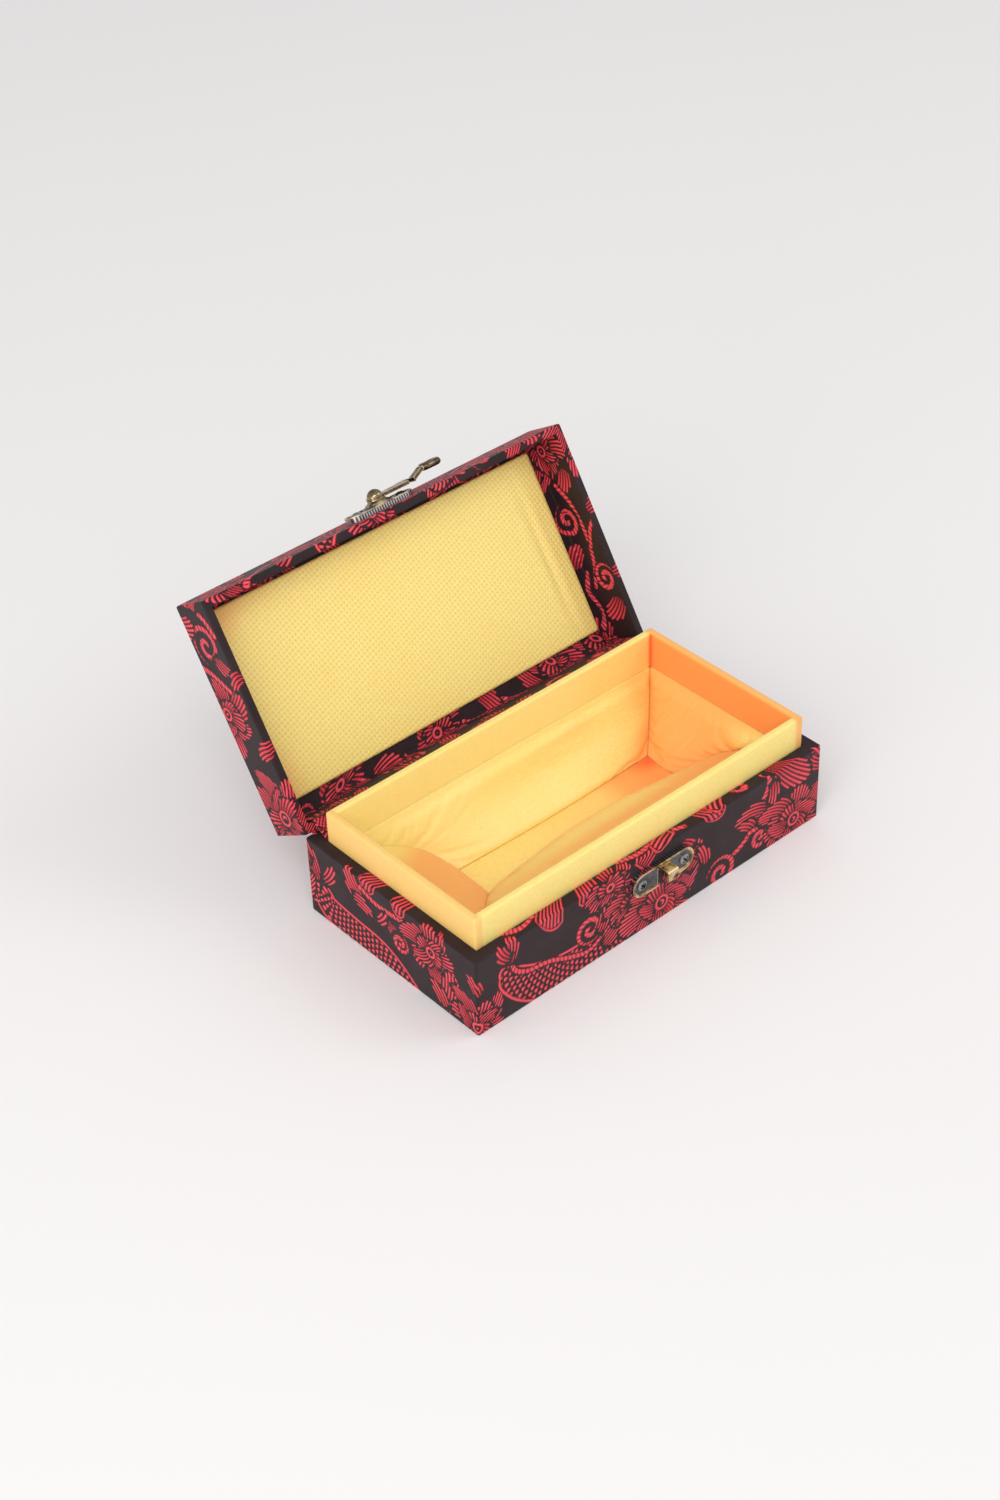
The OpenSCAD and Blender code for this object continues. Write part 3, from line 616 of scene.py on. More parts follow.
class Finish:
    """A node material being built. Its methods make a node each and return its output."""

    def __init__(self, name, roughness=0.5, metallic=0.0, **constants):
        self.material = bpy.data.materials.new(name)
        self.material.use_nodes = True
        self.tree = self.material.node_tree
        self.shader = self.tree.nodes["Principled BSDF"]
        self.set("Roughness", roughness)
        self.set("Metallic", metallic)
        for key, value in constants.items():
            self.set(key.replace("_", " "), value)

    def set(self, name, value):
        """Sets or links an input of the shader."""
        self.feed(self.shader.inputs[name], value)

    def feed(self, socket, value):
        """Links a socket to another, or sets its value."""
        if isinstance(value, bpy.types.NodeSocket):
            self.tree.links.new(value, socket)
        elif isinstance(value, (tuple, list)) and len(value) == 3 and socket.type == "RGBA":
            socket.default_value = (*value, 1.0)
        else:
            socket.default_value = value

    def add(self, kind, inputs=None, out=0, **settings):
        """Makes a node of this kind, with inputs by name or number, and returns output out."""
        node = self.tree.nodes.new("ShaderNode" + kind)
        for key, value in settings.items():
            setattr(node, key, value)
        for key, value in (inputs or {}).items():
            self.feed(node.inputs[key], value)
        return node.outputs[out]

    def math(self, operation, *values):
        """Result of a Math node."""
        return self.add("Math", dict(enumerate(values)), operation=operation)

    def ramp(self, value, low, high, out_low=0.0, out_high=1.0):
        """Value from low to high becomes out_low to out_high, smoothly, held at the ends."""
        return self.add("MapRange", {"Value": value, "From Min": low, "From Max": high,
                                     "To Min": out_low, "To Max": out_high},
                        interpolation_type="SMOOTHSTEP")

    def mix(self, share, a, b):
        """Colour a where share is 0, colour b where it is 1."""
        return self.add("Mix", {0: share, 6: a, 7: b}, out=2, data_type="RGBA")

    def noise(self, place, scale, detail=3.0, rough=0.55, stretch=None):
        """Noise about 0.5, with scale cells for each metre, more by stretch."""
        if stretch:
            place = self.add("Mapping", {"Vector": place, "Scale": stretch})
        return self.add("TexNoise", {"Vector": place, "Scale": scale, "Detail": detail,
                                     "Roughness": rough})

    def waves(self, place, per_metre, turn=0.0, bend=0.0):
        """Ribs across a direction turned by turn, this many for each metre."""
        place = self.add("Mapping", {"Vector": place, "Rotation": (0, 0, turn)})
        return self.add("TexWave", {"Vector": place, "Scale": per_metre * math.pi / 10,
                                    "Distortion": bend, "Detail": 1.0, "Detail Scale": 1.0},
                        out=1, wave_type="BANDS", bands_direction="X")

    def bump(self, height, distance, strength=1.0, under=None):
        """Adds a bump of this height in metres to the shader's normal, over an earlier one."""
        inputs = {"Height": height, "Distance": distance, "Strength": strength}
        if under is not None:
            inputs["Normal"] = under
        return self.add("Bump", inputs)

    def cloth(self):
        """Place on the piece's cloth, in metres."""
        return self.add("UVMap", uv_map="cloth")

    def place(self):
        """Place in the object's own frame, in metres."""
        return self.add("TexCoord", out=3)


def brocade_material(name):
    """Satin-woven dark ground with a raised figure thread, from the attribute figure."""
    look = bpy.context.scene.cloth_colours
    m = Finish(name, roughness=0.5, Specular_IOR_Level=0.2, Sheen_Weight=0.02,
               Sheen_Roughness=0.5)
    cloth, place = m.cloth(), m.place()
    figure = m.add("Attribute", out=2, attribute_name="figure")
    ragged = m.math("MULTIPLY_ADD", m.noise(cloth, 2400.0, 2.0), 0.30, -0.15)
    edge = m.math("ADD", figure, ragged)
    thread = m.ramp(edge, -0.06, 0.08)
    floats, twill = m.waves(cloth, 2600.0, 0.35), m.waves(cloth, 3400.0, -0.9)
    crest = m.ramp(edge, 0.0, 0.5)
    wear = m.noise(place, 60.0, 4.0)
    ground = m.mix(m.math("MULTIPLY", twill, 0.5), tuple(look.ground),
                   tuple(min(1.0, c * 1.8 + 0.004) for c in look.ground))
    ground = m.mix(m.ramp(wear, 0.35, 0.75), ground, (0.030, 0.017, 0.020))
    # Painted shade: the thread darkened to deep red at the edges and sides of the figure
    deep = tuple(c * 0.36 for c in look.thread)
    red = m.mix(m.ramp(edge, -0.05, 0.24), deep, tuple(look.thread))
    # Painted highlight: the thread's crests lit pink along its floats
    lit = m.math("MULTIPLY", crest, m.math("MULTIPLY_ADD", floats, 0.75, 0.08))
    red = m.mix(lit, red, tuple(look.thread_painted_highlight))
    m.set("Base Color", m.mix(thread, ground, red))
    m.set("Roughness", m.math("MULTIPLY_ADD", thread, 0.06, 0.50))
    raised = m.ramp(figure, -0.15, 0.5)
    normal = m.bump(m.math("MULTIPLY_ADD", floats, 0.12, raised), 0.00028, 0.9)
    m.set("Normal", m.bump(twill, 0.00003, 0.6, normal))
    return m.material


def satin_material(name, rib=2200.0, check=0.0, grain=0.5):
    """Lining satin: rib fine ribs for each metre, a speckled grain, a soft check where check
    is above 0, and uneven dye. A point attribute paints light and shade: above 0 orange
    shade and bounce light, from 1 to 2 deep red-orange shade in corners, and below 0 a pale
    painted highlight."""
    look = bpy.context.scene.cloth_colours
    m = Finish(name, roughness=0.42, Specular_IOR_Level=0.45, Sheen_Weight=0.1,
               Sheen_Roughness=0.4)
    cloth, place = m.cloth(), m.place()
    painted_shade_and_light = m.add("Attribute", out=2, attribute_name="painted_shade_and_light")
    ribs, cross = m.waves(cloth, rib), m.waves(cloth, rib * 0.62, math.pi / 2)
    dye = m.noise(place, 45.0, 3.0)
    speck = m.noise(cloth, 1300.0, 3.0, 0.75)
    share = m.math("MULTIPLY_ADD", m.math("MULTIPLY", ribs, cross), -0.45, 0.42)
    tone = m.mix(share, tuple(look.satin), tuple(look.satin_deep))
    tone = m.mix(m.ramp(dye, 0.35, 0.8, 0.0, 0.2), tone, tuple(look.satin_deep))
    tone = m.mix(m.ramp(speck, 0.36, 0.66, grain, 0.0), tone, tuple(look.satin_deep))
    streak = m.noise(cloth, 1100.0, 3.0, 0.65, (0.3, 1.0, 1.0))
    tone = m.mix(m.ramp(streak, 0.38, 0.62, grain * 0.45, 0.0), tone,
                 tuple(c * 0.86 for c in look.satin_deep))
    height = m.math("ADD", m.math("MULTIPLY", ribs, 0.6), m.math("MULTIPLY", cross, 0.4))
    height = m.math("MULTIPLY_ADD", speck, 2.4, height)
    if check:
        turn, bend = 0.31, 0.8
        wide = m.waves(cloth, 600.0, turn, bend)
        high = m.waves(cloth, 570.0, math.pi / 2 + turn, bend)
        grid = m.math("MULTIPLY", wide, high)
        dark = m.math("MULTIPLY", m.math("SUBTRACT", 1.0, m.math("MAXIMUM", wide, high)), check)
        tone = m.mix(m.math("MULTIPLY", grid, 0.3), tone, tuple(look.satin))
        tone = m.mix(dark, tone, tuple(c * 0.8 for c in look.satin_deep))
        height = m.math("MULTIPLY_ADD", grid, 2.6, height)
    # Painted shade and light: orange shade up to 1, deep red-orange corner shade from 1 to 2,
    # and a pale painted highlight below 0
    orange = m.mix(m.math("MULTIPLY", share, 0.8), tuple(look.satin_painted_shade),
                   tuple(c * 0.86 for c in look.satin_painted_shade))
    tone = m.mix(m.ramp(painted_shade_and_light, 0.0, 1.0), tone, orange)
    tone = m.mix(m.ramp(painted_shade_and_light, 1.0, 2.0), tone, tuple(look.satin_painted_corner_shade))
    tone = m.mix(m.ramp(painted_shade_and_light, -1.0, 0.0, 0.9, 0.0), tone, tuple(look.satin_painted_highlight))
    m.set("Base Color", tone)
    m.set("Roughness", m.ramp(dye, 0.2, 0.8, 0.36, 0.50))
    m.set("Normal", m.bump(height, 0.00005, 0.7))
    return m.material


def plain_cloth_material():
    """Dark plain-woven backing cloth with a little lint."""
    look = bpy.context.scene.cloth_colours
    m = Finish("plain_backing_cloth", roughness=0.85)
    cloth = m.place()
    weave = m.math("MULTIPLY", m.waves(cloth, 1500.0), m.waves(cloth, 1500.0, math.pi / 2))
    lint = m.noise(cloth, 300.0, 4.0)
    m.set("Base Color", m.mix(m.math("MULTIPLY", lint, weave), tuple(look.backing),
                              tuple(c * 3 for c in look.backing)))
    m.set("Normal", m.bump(weave, 0.00008, 0.8))
    return m.material


def board_material():
    """Greyboard with fibres drawn out across its thickness."""
    look = bpy.context.scene.cloth_colours
    m = Finish("greyboard", roughness=0.9)
    place = m.place()
    fibre = m.noise(place, 900.0, 5.0, 0.6, (1.0, 1.0, 6.0))
    m.set("Base Color", m.mix(fibre, tuple(look.board), tuple(c * 0.6 for c in look.board)))
    m.set("Normal", m.bump(fibre, 0.0001, 0.5))
    return m.material


def from_plate(m, spot, up):
    """Offsets along, across and out from a plate in metres, from Object coordinates: spot is
    the plate's middle and up the direction across it, with X along it."""
    off = m.add("VectorMath", {0: m.place(), 1: spot}, operation="SUBTRACT")
    along = m.add("VectorMath", {0: off, 1: (1.0, 0.0, 0.0)}, out=1, operation="DOT_PRODUCT")
    across = m.add("VectorMath", {0: off, 1: up}, out=1, operation="DOT_PRODUCT")
    out = m.add("VectorMath", {0: off, 1: (0.0, -up[2], up[1])}, out=1, operation="DOT_PRODUCT")
    return along, across, out


# A hasp plate in metres: half the straight length of its outline, and steps of its rolled rim
# and its skirt by the distance from its middle line and by how far they stand out
PLATE_STRAIGHT = 0.010
RIM_REACH, RIM_OUT = (0.0037, 0.0042), (0.0025, 0.0028)
SKIRT_REACH, SKIRT_OUT = (0.0044, 0.0047), (0.0019, 0.0016)
# The skirt's flutes are only painted, as dark and light stripes of shade and highlight
FLUTES = 5400.0  # turn of the skirt's flutes, in radians for each metre along the plate
# Screw heads in metres: their distance from the plate's middle, and steps across an arm of
# the cross recess and at its end, which mark where the recess is painted near black as its shade
SCREW_PLACE = 0.0104
RECESS_SIDE, RECESS_END = (0.00050, 0.00038), (0.0022, 0.0019)


def brass_material(name, shine, plate=None):
    """Antique brass: dark patina, edges and crests rubbed bright, and fine scratches. On a
    plate (middle, direction across) the rolled rim is bright and the sunk field dark, and the
    skirt's flutes are painted as dark and light stripes of shade and highlight."""
    look = bpy.context.scene.brass_colours
    m = Finish(name, roughness=0.36, metallic=1.0)
    place = m.place()
    patches = m.noise(place, 260.0, 3.0, 0.5)
    fine = m.noise(place, 2200.0, 3.0)
    bevel = m.add("Bevel", {"Radius": 0.0006}, samples=6)
    sharp = m.add("VectorMath", {0: bevel, 1: m.add("NewGeometry", out=1)}, out=1,
                  operation="DOT_PRODUCT")
    worn = m.ramp(m.math("ADD", sharp, m.math("MULTIPLY", patches, 0.10)), 1.04, 0.97)
    tone = m.mix(m.ramp(patches, 0.35, 0.75, 0.0, 0.35 + shine), tuple(look.patina),
                 tuple(0.5 * (a + b) for a, b in zip(look.patina, look.worn)))
    if plate:
        along, across, out = from_plate(m, *plate)
        painted_flute_shade = m.math("SINE", m.math("MULTIPLY", along, FLUTES))
        past = m.math("SUBTRACT", m.math("ABSOLUTE", along), PLATE_STRAIGHT)
        past = m.math("MAXIMUM", past, 0.0)
        reach = m.math("SQRT", m.math("ADD", m.math("MULTIPLY", past, past),
                                      m.math("MULTIPLY", across, across)))
        rim = m.math("MAXIMUM", m.ramp(reach, *RIM_REACH), m.ramp(out, *RIM_OUT))
        skirt = m.math("MULTIPLY", m.ramp(reach, *SKIRT_REACH), m.ramp(out, *SKIRT_OUT))
        fields = m.mix(m.ramp(patches, 0.35, 0.7), tuple(look.field),
                       tuple(c * 0.5 for c in look.field))
        tone = m.mix(rim, fields, m.mix(m.ramp(patches, 0.40, 0.65), tuple(look.worn),
                                        tuple(look.patina)))
        # Painted shade and highlight: dark and light stripes for the skirt's flutes
        tone = m.mix(skirt, tone, m.mix(m.ramp(painted_flute_shade, -0.3, 0.7), (0.10, 0.10, 0.11),
                                        (0.52, 0.52, 0.55)))
        worn = m.math("MULTIPLY", worn, m.ramp(skirt, 1.0, 0.0))
    m.set("Base Color", m.mix(worn, tone, tuple(look.worn)))
    m.set("Roughness", m.ramp(patches, 0.3, 0.75, 0.36 - shine * 0.2, 0.22))
    m.set("Normal", m.bump(fine, 0.00003, 0.5))
    return m.material


def steel_material(name, plate):
    """Blackened steel with rubbed heads and a cross recess in each, painted near black as its
    shade.
    """
    m = Finish(name, roughness=0.3, metallic=1.0)
    place = m.place()
    mark = m.noise(place, 1500.0, 4.0)
    along, across, _ = from_plate(m, *plate)
    aside = m.math("SUBTRACT", m.math("ABSOLUTE", along), SCREW_PLACE)
    p, q = (m.math("ABSOLUTE", m.math(way, aside, across)) for way in ("ADD", "SUBTRACT"))
    side, end = m.math("MINIMUM", p, q), m.math("MAXIMUM", p, q)
    # Painted shade: the cross recess near black
    slot = m.math("MULTIPLY", m.ramp(side, *RECESS_SIDE), m.ramp(end, *RECESS_END))
    tone = m.mix(mark, (0.16, 0.16, 0.165), (0.5, 0.5, 0.52))
    m.set("Base Color", m.mix(slot, tone, (0.012, 0.012, 0.012)))
    m.set("Roughness", m.ramp(mark, 0.3, 0.7, 0.2, 0.45))
    m.set("Normal", m.bump(mark, 0.00003, 0.5, m.bump(slot, -0.0002, 1.0)))
    return m.material


def floor_material():
    """Pale matt floor, very slightly uneven."""
    look = bpy.context.scene.stage_look
    m = Finish("pale_floor", roughness=0.9, Specular_IOR_Level=0.1)
    tone = m.noise(m.place(), 3.0, 2.0)
    m.set("Base Color", m.mix(tone, tuple(look.floor), tuple(c * 0.985 for c in look.floor)))
    return m.material


# Pieces

def named_material(make, name, *values):
    """The material of that name, made once."""
    return bpy.data.materials.get(name) or make(name, *values)


def cover_sizes(s):
    """Half length, half depth, cloth thickness and design step of the covers in millimetres."""
    return (s.box_length / MM / 2, s.box_depth / MM / 2, s.cloth / MM - CLEARANCE,
            s.grain / MM)


def woven_ring(name, line, travelled, half_x, half_y, corner, design, strip, angle=0.0):
    """Brocade with this profile carried round a rectangle, and turned open by angle. The
    design is drawn for strip millimetres and then comes again."""
    columns = ring_columns(half_x, half_y, bpy.context.scene.box_sizes.grain / MM)
    points = swept_ring(line, columns, half_x, half_y, 0, corner)
    u = np.where(columns[2] > strip, columns[2] - strip, columns[2])
    u, v = np.broadcast_arrays(u, travelled[:, None])
    figure = woven_design(u.ravel(), v.ravel(), design, strip)
    if angle:
        points = turn_open(points, angle)
    return ring_sheet(name, points, columns, travelled, {"figure": figure})


class BOX_OT_base_brocade(bpy.types.Operator):
    """Wraps the base in brocade: outside, in over its rim, and in under its floor"""
    bl_idname = "keepsake.base_brocade"
    bl_label = "Base brocade"

    def execute(self, context):
        s = context.scene.box_sizes
        hx, hy, cloth, step = cover_sizes(s)
        top, wall, lap, fine = s.base_height / MM, s.base_wall / MM, 12, step * 0.93
        line, travelled = closed_profile((
            (lap, 0, 0, 2.5), (0, 0, 0.7, fine), (0, top, 0.7, fine), (wall, top, 0.6, 1.6),
            (wall, top - lap, 0, 1), (wall - cloth, top - lap, 0, 6),
            (wall - cloth, top - cloth, 0, 2), (cloth, top - cloth, 0, 8),
            (cloth, cloth, 0, 6), (lap, cloth, 0, 1)))
        piece = woven_ring("base_brocade", line, travelled - lap, hx, hy, s.edge_round / MM,
                           BASE_DESIGN, BASE_STRIP)
        dress(piece, "base", "brocade", named_material(brocade_material, "brocade_cloth"),
              "base_brocade_cover")
        return {"FINISHED"}


class BOX_OT_lid_brocade(bpy.types.Operator):
    """Covers the lid outside, over its rim and inside"""
    bl_idname = "keepsake.lid_brocade"
    bl_label = "Lid brocade"

    def execute(self, context):
        s = context.scene.box_sizes
        hx, hy, cloth, step = cover_sizes(s)
        rim, wall = (s.base_height + s.rim_gap) / MM, s.lid_wall / MM
        top = rim + s.lid_height / MM
        stuff = named_material(brocade_material, "brocade_cloth")

        # Walls: rim's inner edge, out over the rim, up the outside, on to the top
        hem = 2.6
        line, travelled = closed_profile((
            (wall, rim, 0.5, step), (0, rim, 0.7, step * 0.93), (0, top, 0.8, step),
            (hem, top, 0, 1), (hem, top - cloth, 0, 3), (cloth, top - cloth, 0, 5),
            (cloth, rim + cloth, 0, 2), (wall, rim + cloth, 0, 1)))
        piece = woven_ring("lid_brocade_walls", line, travelled - wall, hx, hy,
                           s.edge_round / MM, LID_DESIGN, BASE_STRIP, s.open_angle)
        dress(piece, "lid", "brocade", stuff, "lid_brocade_cover")

        # Top: a flat leaf inside the wrapped edge, its border a hair lower
        tx, ty, drop = hx - 1.5, hy - 1.5, 0.02
        x, y = np.meshgrid(np.linspace(-tx, tx, math.ceil(2 * tx / step)),
                           np.linspace(-ty, ty, math.ceil(2 * ty / step)))
        edge = np.minimum(tx - np.abs(x), ty - np.abs(y))
        points = backed(np.stack([x, y, top - drop * (edge < 0.1)], -1), top - drop - cloth)
        figure = woven_design(x.ravel(), y.ravel(), TOP_DESIGN).reshape(x.shape)
        figure = np.pad(figure, ((1, 1), (0, 0)), constant_values=-1.0)
        piece = closed_sheet("lid_brocade_top", turn_open(points, s.open_angle),
                             points[..., :2], {"figure": figure})
        dress(piece, "lid", "brocade", stuff, "lid_brocade_cover")

        # Inside: up the walls from the rim and in over the ceiling, under the panel's edge
        foot, ceiling, reach = rim + 0.52, top - 3.0, 14.0
        line, travelled = closed_profile((
            (wall - cloth, foot, 0, 1), (wall, foot, 0, step), (wall, ceiling, 0.5, step),
            (reach, ceiling, 0, 1), (reach, ceiling + cloth, 0, 4),
            (wall - cloth, ceiling + cloth, 0, 5)))
        piece = woven_ring("lid_brocade_inside", line[::-1] - (wall, 0), travelled[::-1],
                           hx - wall, hy - wall, 0.1, INNER_DESIGN, INNER_STRIP, s.open_angle)
        dress(piece, "lid", "brocade", stuff, "lid_inner_brocade")
        return {"FINISHED"}


def soft_creases(a, b, span_a, span_b, seed, count, lean, height, width=(0.6, 1.6)):
    """Sum of short raised creases over (a, b) in millimetres. Each has a middle inside the
    spans, a direction near lean, a bell-shaped cross section and tapered ends."""
    draw = np.random.default_rng(seed)
    field = np.zeros_like(a)
    for _ in range(count):
        ma, mb = draw.uniform(0, span_a), draw.uniform(0, span_b)
        turn = lean + draw.normal(0, 0.3)
        long, wide = draw.uniform(5, 16), draw.uniform(*width)
        rise = height * draw.uniform(0.4, 1.0) * draw.choice((-1, 1))
        c, s = math.cos(turn), math.sin(turn)
        p, q = (a - ma) * c + (b - mb) * s, (b - mb) * c - (a - ma) * s
        q = q + 0.02 * p * p * draw.normal()
        field += rise * np.exp(-(q / wide) ** 2 - (p / long) ** 2)
    return field


def slope_form(u):
    """Long slope that rolls over at its foot, from 0.02 at the top to 1."""
    return 0.02 + 0.98 * np.sin(math.pi / 2 * u ** 1.05)


def hollow_form(u):
    """Hollow curve that runs out on the floor, from 0.04 at the top to 1."""
    return 0.04 + 0.31 * u + 0.65 * u ** 3


def smooth_share(x, low, high):
    """0 below low, 1 above high and a smooth step between them. It falls where low is above
    high."""
    t = np.clip((x - low) / (high - low), 0, 1)
    return t * t * (3 - 2 * t)


def spot(a, b, at_a, at_b, wide_a, wide_b):
    """Bell-shaped patch over (a, b) round (at_a, at_b)."""
    return np.exp(-((a - at_a) / wide_a) ** 2 - ((b - at_b) / wide_b) ** 2)


# The trial sheet of the cloth simulation is this many times as large, which the solver holds
# steadier, and settles for this many frames
TRIAL_SCALE, TRIAL_FRAMES = 10, 24


def settle_cloth(face, slack, push, most):
    """Cloth simulation of a satin sheet: the grid face in millimetres, cut larger than its
    frame by the share slack, held at its four borders and pushed along push. No point moves
    more than most millimetres."""
    scene = bpy.context.scene
    rows, columns = face.shape[:2]
    quads, _ = grid_faces(rows, columns)
    trial = add_mesh("trial_sheet", face * TRIAL_SCALE, quads)
    border = np.zeros((rows, columns), bool)
    border[[0, -1]] = border[:, [0, -1]] = True
    held = trial.vertex_groups.new(name="border")
    held.add(np.flatnonzero(border).tolist(), 1.0, "REPLACE")
    weave = trial.modifiers.new("satin", "CLOTH")
    weave.settings.quality = 6
    weave.settings.mass = 0.15
    weave.settings.tension_stiffness = weave.settings.compression_stiffness = 12.0
    weave.settings.shear_stiffness = 5.0
    weave.settings.bending_stiffness = 0.05
    weave.settings.vertex_group_mass = "border"
    weave.settings.shrink_min = weave.settings.shrink_max = -slack
    weave.point_cache.frame_start, weave.point_cache.frame_end = 1, 30
    pull = tuple(scene.gravity)
    scene.gravity = push
    for frame_number in range(1, TRIAL_FRAMES + 1):
        scene.frame_set(frame_number)
    worn = trial.evaluated_get(bpy.context.evaluated_depsgraph_get())
    settled = np.empty(rows * columns * 3, np.float32)
    worn.data.vertices.foreach_get("co", settled)
    scene.gravity = pull
    sheet = trial.data
    bpy.data.objects.remove(trial)
    bpy.data.meshes.remove(sheet)
    scene.frame_set(1)
    move = settled.reshape(rows, columns, 3) / MM / TRIAL_SCALE - face
    far = np.maximum(np.linalg.norm(move, axis=2, keepdims=True), 1e-6)
    return face + move * (most * np.tanh(far / most) / far)


# Inside of the satin tray in millimetres: half its length, its front and back, the lower edge
# of its flat band, and its floor
TRAY_X, TRAY_FRONT, TRAY_BACK, TRAY_TOP, TRAY_FLOOR = 77.6, -37.8, 36.3, 30.2, 6.6
PAD_LEVELS, PAD_SPANS = 48, 124
MITRE_GAP = 0.04  # between a pad's end and its neighbour's, either side of the mitre
# Each pad's neighbours at its start and end, furthest reach over the floor and form, crown,
# slack of its cloth, push on it, and its creases' seed, count, lean, height and width
PADS = {
    "front": ("left", "right", 37.0, slope_form, 6.2, 0.02, (0, 1.2, 0.8), (11, 26, 0.08, 0.5)),
    "back": ("right", "left", 17.5, hollow_form, 1.2, 0.012, (0, -2.0, -0.6),
             (13, 12, 0.1, 0.3)),
    "left": ("back", "front", 38.0, slope_form, 1.2, 0.004, (1.2, 0, 0.8),
             (12, 14, 1.2, 0.35)),
    "right": ("front", "back", 18.4, hollow_form, 1.2, 0.03, (-2.0, 0, -0.6),
              (14, 34, 0.9, 0.45, (0.5, 1.2))),
}


def pad_reach(name, u):
    """How far a pad stands out over the floor at the share u of the way down: its furthest
    reach times its form."""
    far, form = PADS[name][2:4]
    return far * form(u)


def pad_row(name, along, inward, height):
    """Points of a pad this far along its wall, in from it and above the table."""
    x, y = {"front": (along - TRAY_X, TRAY_FRONT + inward),
            "back": (TRAY_X - along, TRAY_BACK - inward),
            "left": (inward - TRAY_X, TRAY_BACK - along),
            "right": (TRAY_X - inward, TRAY_FRONT + along)}[name]
    return np.stack(np.broadcast_arrays(x, y, height), -1)


def pad_tone(name, across, u, run):
    """How far a pad's satin is painted towards orange shade and bounce light, or below 0 towards
    a pale painted highlight: patches and steps over the place along its wall in millimetres and
    the share of the way down."""
    if name == "front":
        return 0.48 + 0.3 * smooth_share(across, 100, 140) \
            + 0.45 * spot(across, u, 40, 0.95, 22, 0.3) \
            + 0.3 * spot(across, u, 95, 0.32, 50, 0.1) + 0.45 * smooth_share(u, 0.7, 1.0) \
            - 0.25 * spot(across, u, 85, 0.55, 70, 0.09)
    if name == "left":
        return 0.85 + 0.15 * u - 1.0 * smooth_share(across + 30 * u, 33, 12)
    if name == "back":
        return 0.5 * spot(across, u, 62, 0.3, 26, 0.22) - 0.35 \
            + 0.45 * spot(across, u, 38, 0.15, 16, 0.3) + 0.75 * smooth_share(across, 30, 8) \
            + 0.9 * smooth_share(u, 0.6, 1.0) * smooth_share(across, 60, 18) \
            + 1.5 * smooth_share(across, 3.5, 0.5) * smooth_share(u, 0.0, 0.3)
    return 0.72 + 0.2 * u - 0.9 * spot(across, u, 14, 0.2, 11, 0.2) \
        + 0.5 * smooth_share(across, 58, 72) * smooth_share(u, 0.4, 1.0) \
        + 0.9 * smooth_share(across, run - 5, run - 1) * smooth_share(u, 0.0, 0.5)


def lining_pad(name):
    """A pad's points, cloth coordinates and tone. Its face reaches in from the wall by its
    reach, a crown that is a sine along the wall, creases that fade at its borders, and the
    settled cloth. A lip laps up over the flat band, and the back runs up the wall."""
    start, end, _, _, crown, slack, push, creases = PADS[name]
    run = 2 * TRAY_X if name in ("front", "back") else TRAY_BACK - TRAY_FRONT
    deep = TRAY_TOP - TRAY_FLOOR
    k, t = np.meshgrid(np.arange(PAD_LEVELS + 1) / PAD_LEVELS,
                       np.arange(PAD_SPANS + 1) / PAD_SPANS, indexing="ij")
    u = k ** 0.9
    a = pad_reach(start, u) + MITRE_GAP
    b = run - pad_reach(end, u) - MITRE_GAP
    across = a + (b - a) * t
    belly = np.sin(math.pi * t)
    inward = pad_reach(name, u) + crown * belly * u ** 0.7
    hem = np.clip(np.minimum(across - a, b - across) / 3, 0, 1) \
        * np.clip(u * 6, 0, 1) * np.clip((1 - u) * 8, 0, 1)
    fold = soft_creases(across, deep * u, run, deep, *creases)
    if name == "front":
        inward += 2.0 * np.sin(3 * math.pi * u) * belly * (1 - u)
    elif name == "back":
        fold += 0.8 * spot(across, u, 112, 0.45, 20, 0.3)
    elif name == "right":
        fold += 1.5 * spot(across, u, 16, 0.28, 9, 0.16)
    face = pad_row(name, across, inward + fold * hem, TRAY_TOP - deep * u)
    ease = smooth_share(u, 0.0, 0.22)[..., None]
    face = face + (settle_cloth(face, slack, push, 2.0) - face) * ease
    face[..., 2] = np.clip(face[..., 2], TRAY_FLOOR - 0.1, TRAY_TOP + 0.4)
    face[-1, :, 2] = TRAY_FLOOR - 0.15
    at = MITRE_GAP + (run - 2 * MITRE_GAP) * t[0]
    lip = [pad_row(name, across[0], inset, height)[None] for inset, height in (
        (0.42, TRAY_TOP + 1.0), (0.5, TRAY_TOP + 0.4))]
    behind = [pad_row(name, at, inset, height)[None] for inset, height in (
        (0, TRAY_FLOOR), (0, TRAY_FLOOR + 8), (0, TRAY_FLOOR + 16), (0, TRAY_TOP - 0.05),
        (0.405, TRAY_TOP - 0.05))]
    points = np.concatenate([*lip, face, *behind])
    # Painted shade and highlight of the pad, carried up its lip; the rows behind get none
    tone = pad_tone(name, across, u, run)
    tone = np.concatenate([tone[:1]] * len(lip) + [tone, np.zeros((len(behind), len(at)))])
    down = np.concatenate([[0 * at], np.cumsum(
        np.linalg.norm(np.diff(points, axis=0), axis=2), axis=0)])
    side = np.concatenate([across[:1]] * len(lip) + [across] + [at[None]] * len(behind))
    return points, np.stack([side, down], -1), tone


